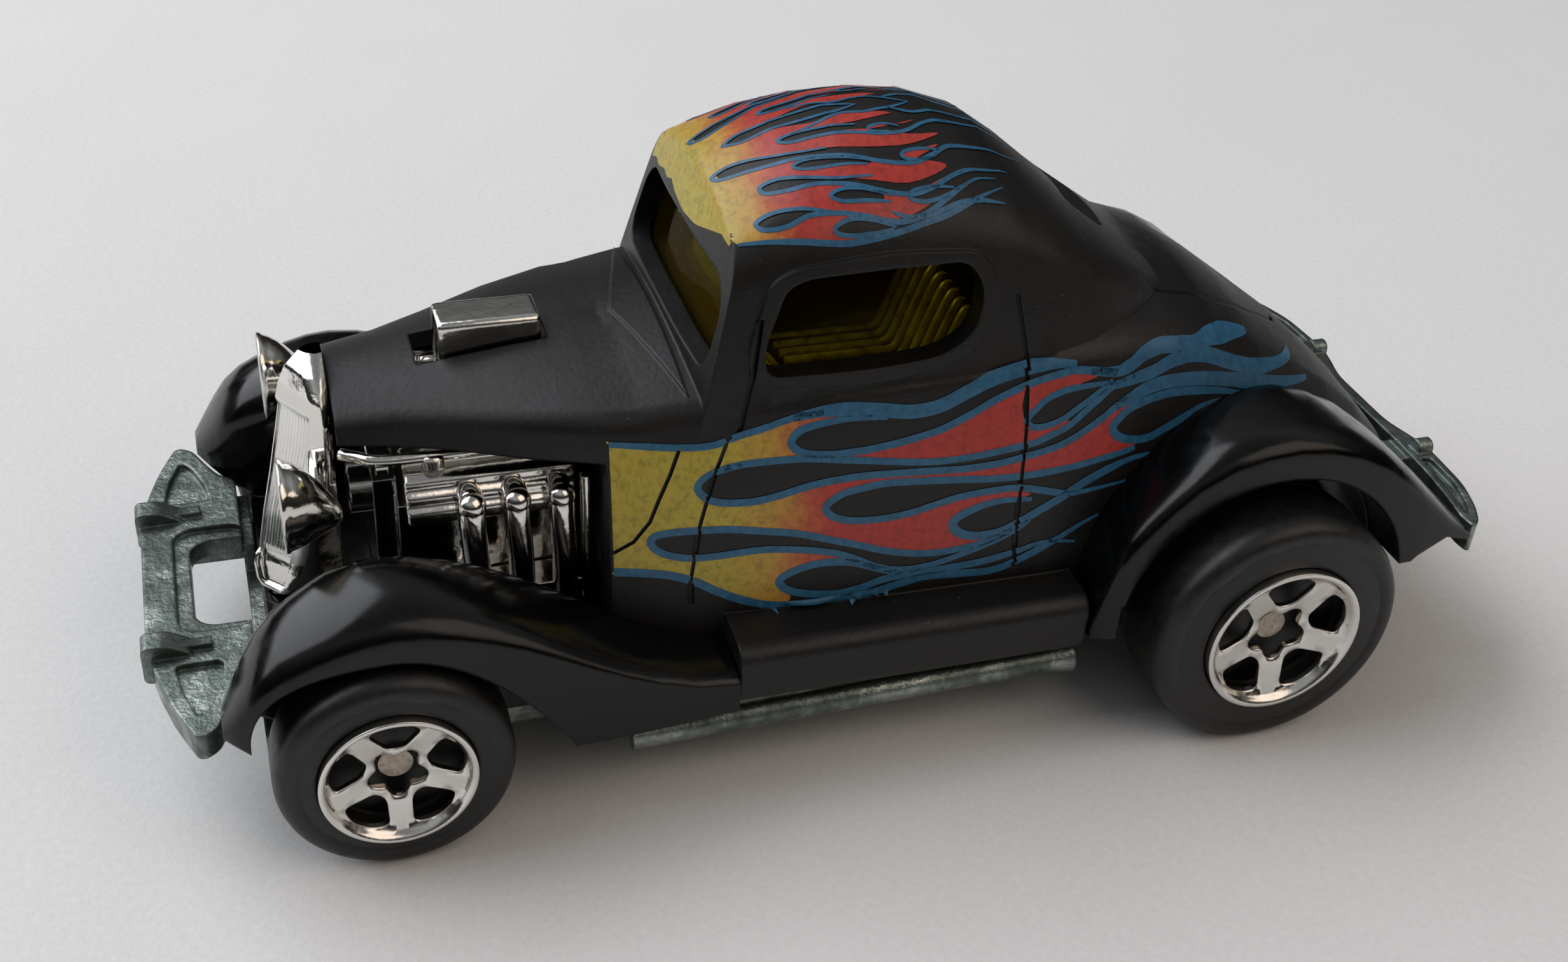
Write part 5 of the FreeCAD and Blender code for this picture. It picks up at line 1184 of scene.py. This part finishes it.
# Engine, in mm. Boxes are x, y and z limits; parts given on one side are mirrored to the other.
engine_boxes = [(-4.3, 4.3, -20.1, -12.6, 5.7, 12.2), (-3.3, 3.3, -21.0, -20.0, 6.6, 13.0)]
# Section (x, z) of the left valve cover, and its rows from front to back: y and share of the section.
cover_section = [(2.6, 11.9), (5.5, 11.9), (5.5, 12.5), (5.25, 12.7), (5.25, 13.1), (4.95, 13.35),
                 (4.95, 13.7), (4.2, 14.1), (4.2, 14.3), (3.0, 14.3), (2.6, 14.1)]
cover_middle_x = 3.9
cover_middle_z = 13.0
cover_rounding = 0.16
cover_rows = ((-19.8, 0.93), (-19.72, 0.98), (-19.6, 1.0), (-12.75, 1.0), (-12.6, 0.98))
# Three headers a side: x, distance behind the header's own y, and z.
header_count = 3
header_front_y = -17.2
header_pitch = 1.9
header_radius = 0.56
header_path = [(4.8, 0.0, 12.9), (5.6, 0.0, 13.05), (6.05, 0.0, 12.7), (6.15, 0.0, 11.8), (6.1, 0.1, 10.0),
               (5.9, 0.15, 7.7)]
head_x = 6.0
head_z = 12.95
head_radius = 0.62
head_rows = 12
small_sides = 28
rail_radius = 0.26
rail_paths = [
    [(6.1, -12.35, 7.6), (6.1, -12.35, 12.0), (6.05, -12.35, 13.9)],
    [(3.4, -22.2, 14.6), (3.8, -21.6, 14.62), (4.35, -20.4, 14.62), (4.35, -16.0, 14.62),
     (4.35, -12.6, 14.62)],
]
rear_pipe_radius = 0.3
rear_pipe_path = [(5.5, -12.9, 7.7), (5.55, -12.9, 10.5), (5.5, -12.95, 13.4)]
# Turned knobs: (place along the axis, radius), where they stand on the left, and their axis.
filler_cap = [(0, 0.3), (0, 0.5), (0.5, 0.52), (0.6, 0.42), (0.62, 0.0)]
filler_cap_place = (4.35, -18.5, 14.15)
cover_nose = [(0, 0.0), (0, 0.42), (0.5, 0.42), (0.55, 0.3), (0.55, 0.0)]
cover_nose_place = (4.2, -20.9, 14.35)
drive_pulley = [(0, 0.0), (0, 1.0), (0.1, 1.15), (1.0, 1.15), (1.0, 0.0)]
drive_pulley_place = (0, -21.9, 10.6)
drive_pulley_sides = 40
collector_x = 5.25
collector_half_width = 0.85
collector_limits = (-17.6, -12.5, 7.55, 8.5)


def valve_covers():
    """Two ribbed covers, drawn in a little at both ends."""
    shapes = []
    outline = rounded([Vector(p) for p in cover_section], cover_rounding, 4)
    for side in (1, -1):
        rings = []
        for y, share in cover_rows:
            ring = []
            for p in outline:
                x = cover_middle_x + (p.x - cover_middle_x) * share
                ring.append(Vector((side * x, y, cover_middle_z + (p.y - cover_middle_z) * share)))
            rings.append(ring)
        shapes.append(loft(rings))
    return join(shapes)


def header_heads(places):
    """Round head on top of each header."""
    turns = [math.pi * (k / head_rows - 0.5) for k in range(head_rows + 1)]
    ball = [(head_radius * math.sin(turn), head_radius * math.cos(turn)) for turn in turns]
    return join([turned(ball, place, (0, 0, 1), small_sides) for place in places])


def knobs():
    """Filler caps, the noses of the covers and the drive in front."""
    shapes = []
    for side in (1, -1):
        for profile, (x, y, z), axis in ((filler_cap, filler_cap_place, (0, 0, 1)),
                                         (cover_nose, cover_nose_place, (0, 1, 0))):
            shapes.append(turned(profile, (side * x, y, z), axis, small_sides))
    shapes.append(turned(drive_pulley, drive_pulley_place, (0, 1, 0), drive_pulley_sides))
    return join(shapes)


def engine_bay():
    """Block, ribbed valve covers, headers with rounded heads, rails and the drive in front."""
    node = "engine"
    piece("engine_block", join([block(*limits) for limits in engine_boxes]), node, "chrome_plate", crisp=30.0)
    piece("valve_covers", valve_covers(), node, "chrome_plate", crisp=55.0)
    pipes, heads = [], []
    for k in range(header_count):
        front = header_front_y + header_pitch * k
        pipes.append([(x, front + behind, z) for x, behind, z in header_path])
        heads.append((head_x, front, head_z))
    bars("headers", mirrored_paths(pipes), header_radius, node, "chrome_plate", small_sides)
    heads += [(-x, y, z) for x, y, z in heads]
    piece("header_heads", header_heads(heads), node, "chrome_plate", crisp=60.0)
    bars("rails", mirrored_paths(rail_paths), rail_radius, node, "chrome_plate")
    bars("rear_pipes", mirrored_paths([rear_pipe_path]), rear_pipe_radius, node, "chrome_plate")
    piece("engine_knobs", knobs(), node, "chrome_plate")
    collectors = []
    for middle in (collector_x, -collector_x):
        inner, outer = middle - collector_half_width, middle + collector_half_width
        collectors.append(block(inner, outer, *collector_limits))
    piece("header_collectors", join(collectors), node, "chrome_plate", crisp=30.0)


# Scoop, in mm: half its width, its foot and top, and its rows from the sunken mouth to the back.
scoop_half_width = 1.12
scoop_foot_z = 13.25
scoop_top_z = 18.93
scoop_middle_z = 16.1
scoop_rounding = 0.3
scoop_rows = ((-17.3, 0.7), (-17.34, 0.8), (-17.56, 0.84), (-17.6, 0.92), (-17.52, 0.98), (-17.35, 1.0),
              (-13.45, 1.0), (-13.28, 0.98), (-13.2, 0.92))
# The mouth draws in less in height than in width.
scoop_height_draw = 0.4


def scoop():
    """Plated scoop with rounded edges and a sunken mouth."""
    corners = [(scoop_half_width, scoop_foot_z), (scoop_half_width, scoop_top_z),
               (-scoop_half_width, scoop_top_z), (-scoop_half_width, scoop_foot_z)]
    section = rounded([Vector(p) for p in corners], scoop_rounding)
    rings = []
    for y, share in scoop_rows:
        ring = []
        for p in section:
            height = (p.y - scoop_middle_z) * (1 - (1 - share) * scoop_height_draw)
            ring.append(Vector((p.x * share, y, scoop_middle_z + height)))
        rings.append(ring)
    piece("scoop_shell", loft(rings), "hood_scoop", "chrome_plate", crisp=50.0)


# What is made anew here, besides the wheels and rim faces; every other sub-part keeps its own shape and is
# dressed.
remade = {"grille_and_headlamps", "engine", "hood_scoop"}
bar_tree = swept_bars()
for part in frame["record"]["subparts"]:
    name = part["node"]
    nodes[name].data.materials.clear()
    nodes[name].data.materials.append(finishes[part["material_slot"]])
    if name not in remade and not name.startswith(("rim_face", "wheel_")):
        dressed(name, part["material_slot"])

flames()
cabin()
grille_and_lamps()
engine_bay()
scoop()
wheels()


def sheet_of_paper():
    """Sheet that the car stands on, wider than the view."""
    half = 0.45
    corners = [(-half, -half, 0), (half, -half, 0), (half, half, 0), (-half, half, 0)]
    mesh = mesh_of("paper_sheet", corners, [(0, 1, 2, 3)])
    mesh.materials.append(paper())
    placed_object("paper_sheet", mesh)


def area_light(name, place, target, size, power, colour):
    """Soft lamp that faces a target; places and sizes in metres."""
    data = bpy.data.lights.new(name, "AREA")
    data.shape = "RECTANGLE"
    data.size, data.size_y = size
    data.energy = power
    data.color = linear(colour)[:3]
    obj = placed_object(name, data)
    obj.location = place
    obj.rotation_euler = (Vector(target) - Vector(place)).to_track_quat("-Z", "Y").to_euler()


def surroundings():
    """Dim room: bright above, darker walls, so that plating shows light and dark."""
    world = bpy.data.worlds.new("room")
    bpy.context.scene.world = world
    world.use_nodes = True
    tree = world.node_tree
    tree.nodes.clear()
    place = add(tree, "ShaderNodeTexCoord").outputs["Generated"]
    split = add(tree, "ShaderNodeSeparateXYZ", {"Vector": place})
    walls = add(tree, "ShaderNodeValToRGB", {"Fac": split.outputs["Z"]}, [
        (0.0, linear("#24221f")), (0.3, linear("#3d3a36")), (0.56, linear("#8d8f90")),
        (0.7, linear("#c6c9cb")), (1.0, linear("#9a9da0"))])
    room = add(tree, "ShaderNodeBackground", {"Color": walls.outputs["Color"], "Strength": 0.6})
    # The camera itself sees a plain pale wall past the paper.
    wall = add(tree, "ShaderNodeBackground", {"Color": linear("#c9cacb"), "Strength": 1.0})
    ray = add(tree, "ShaderNodeLightPath").outputs["Is Camera Ray"]
    seen = add(tree, "ShaderNodeMixShader", {0: ray, 1: room.outputs[0], 2: wall.outputs[0]})
    add(tree, "ShaderNodeOutputWorld", {"Surface": seen.outputs[0]})


def camera():
    """Camera solved from the wheels and mirrored points of the car."""
    azimuth, elevation, roll = math.radians(70.739), math.radians(33.906), math.radians(3.6751)
    distance = 89.896 * MM
    target = Vector((0, -1.3605, 7.9177)) * MM
    level = math.cos(elevation)
    back = Vector((math.sin(azimuth) * level, -math.cos(azimuth) * level, math.sin(elevation)))
    right = (-back).cross(upward).normalized()
    up = right.cross(-back)
    rolled_right = math.cos(roll) * right + math.sin(roll) * up
    rolled_up = -math.sin(roll) * right + math.cos(roll) * up
    data = bpy.data.cameras.new("camera")
    data.sensor_width = 36.0
    data.lens = 42.81
    data.clip_start = 0.005
    obj = placed_object("camera", data)
    matrix = Matrix((rolled_right, rolled_up, back)).transposed().to_4x4()
    matrix.translation = target + back * distance
    obj.matrix_world = matrix
    bpy.context.scene.camera = obj


sheet_of_paper()
surroundings()
area_light("window", place=(-0.24, -0.31, 0.38), target=(0, 0, 0), size=(0.64, 0.54), power=3.2,
           colour="#f6f9ff")
area_light("room_fill", place=(0.26, 0.24, 0.36), target=(0, 0, 0.01), size=(0.4, 0.4), power=0.55,
           colour="#ffe9d6")
camera()
bpy.context.scene.view_settings.view_transform = "Standard"
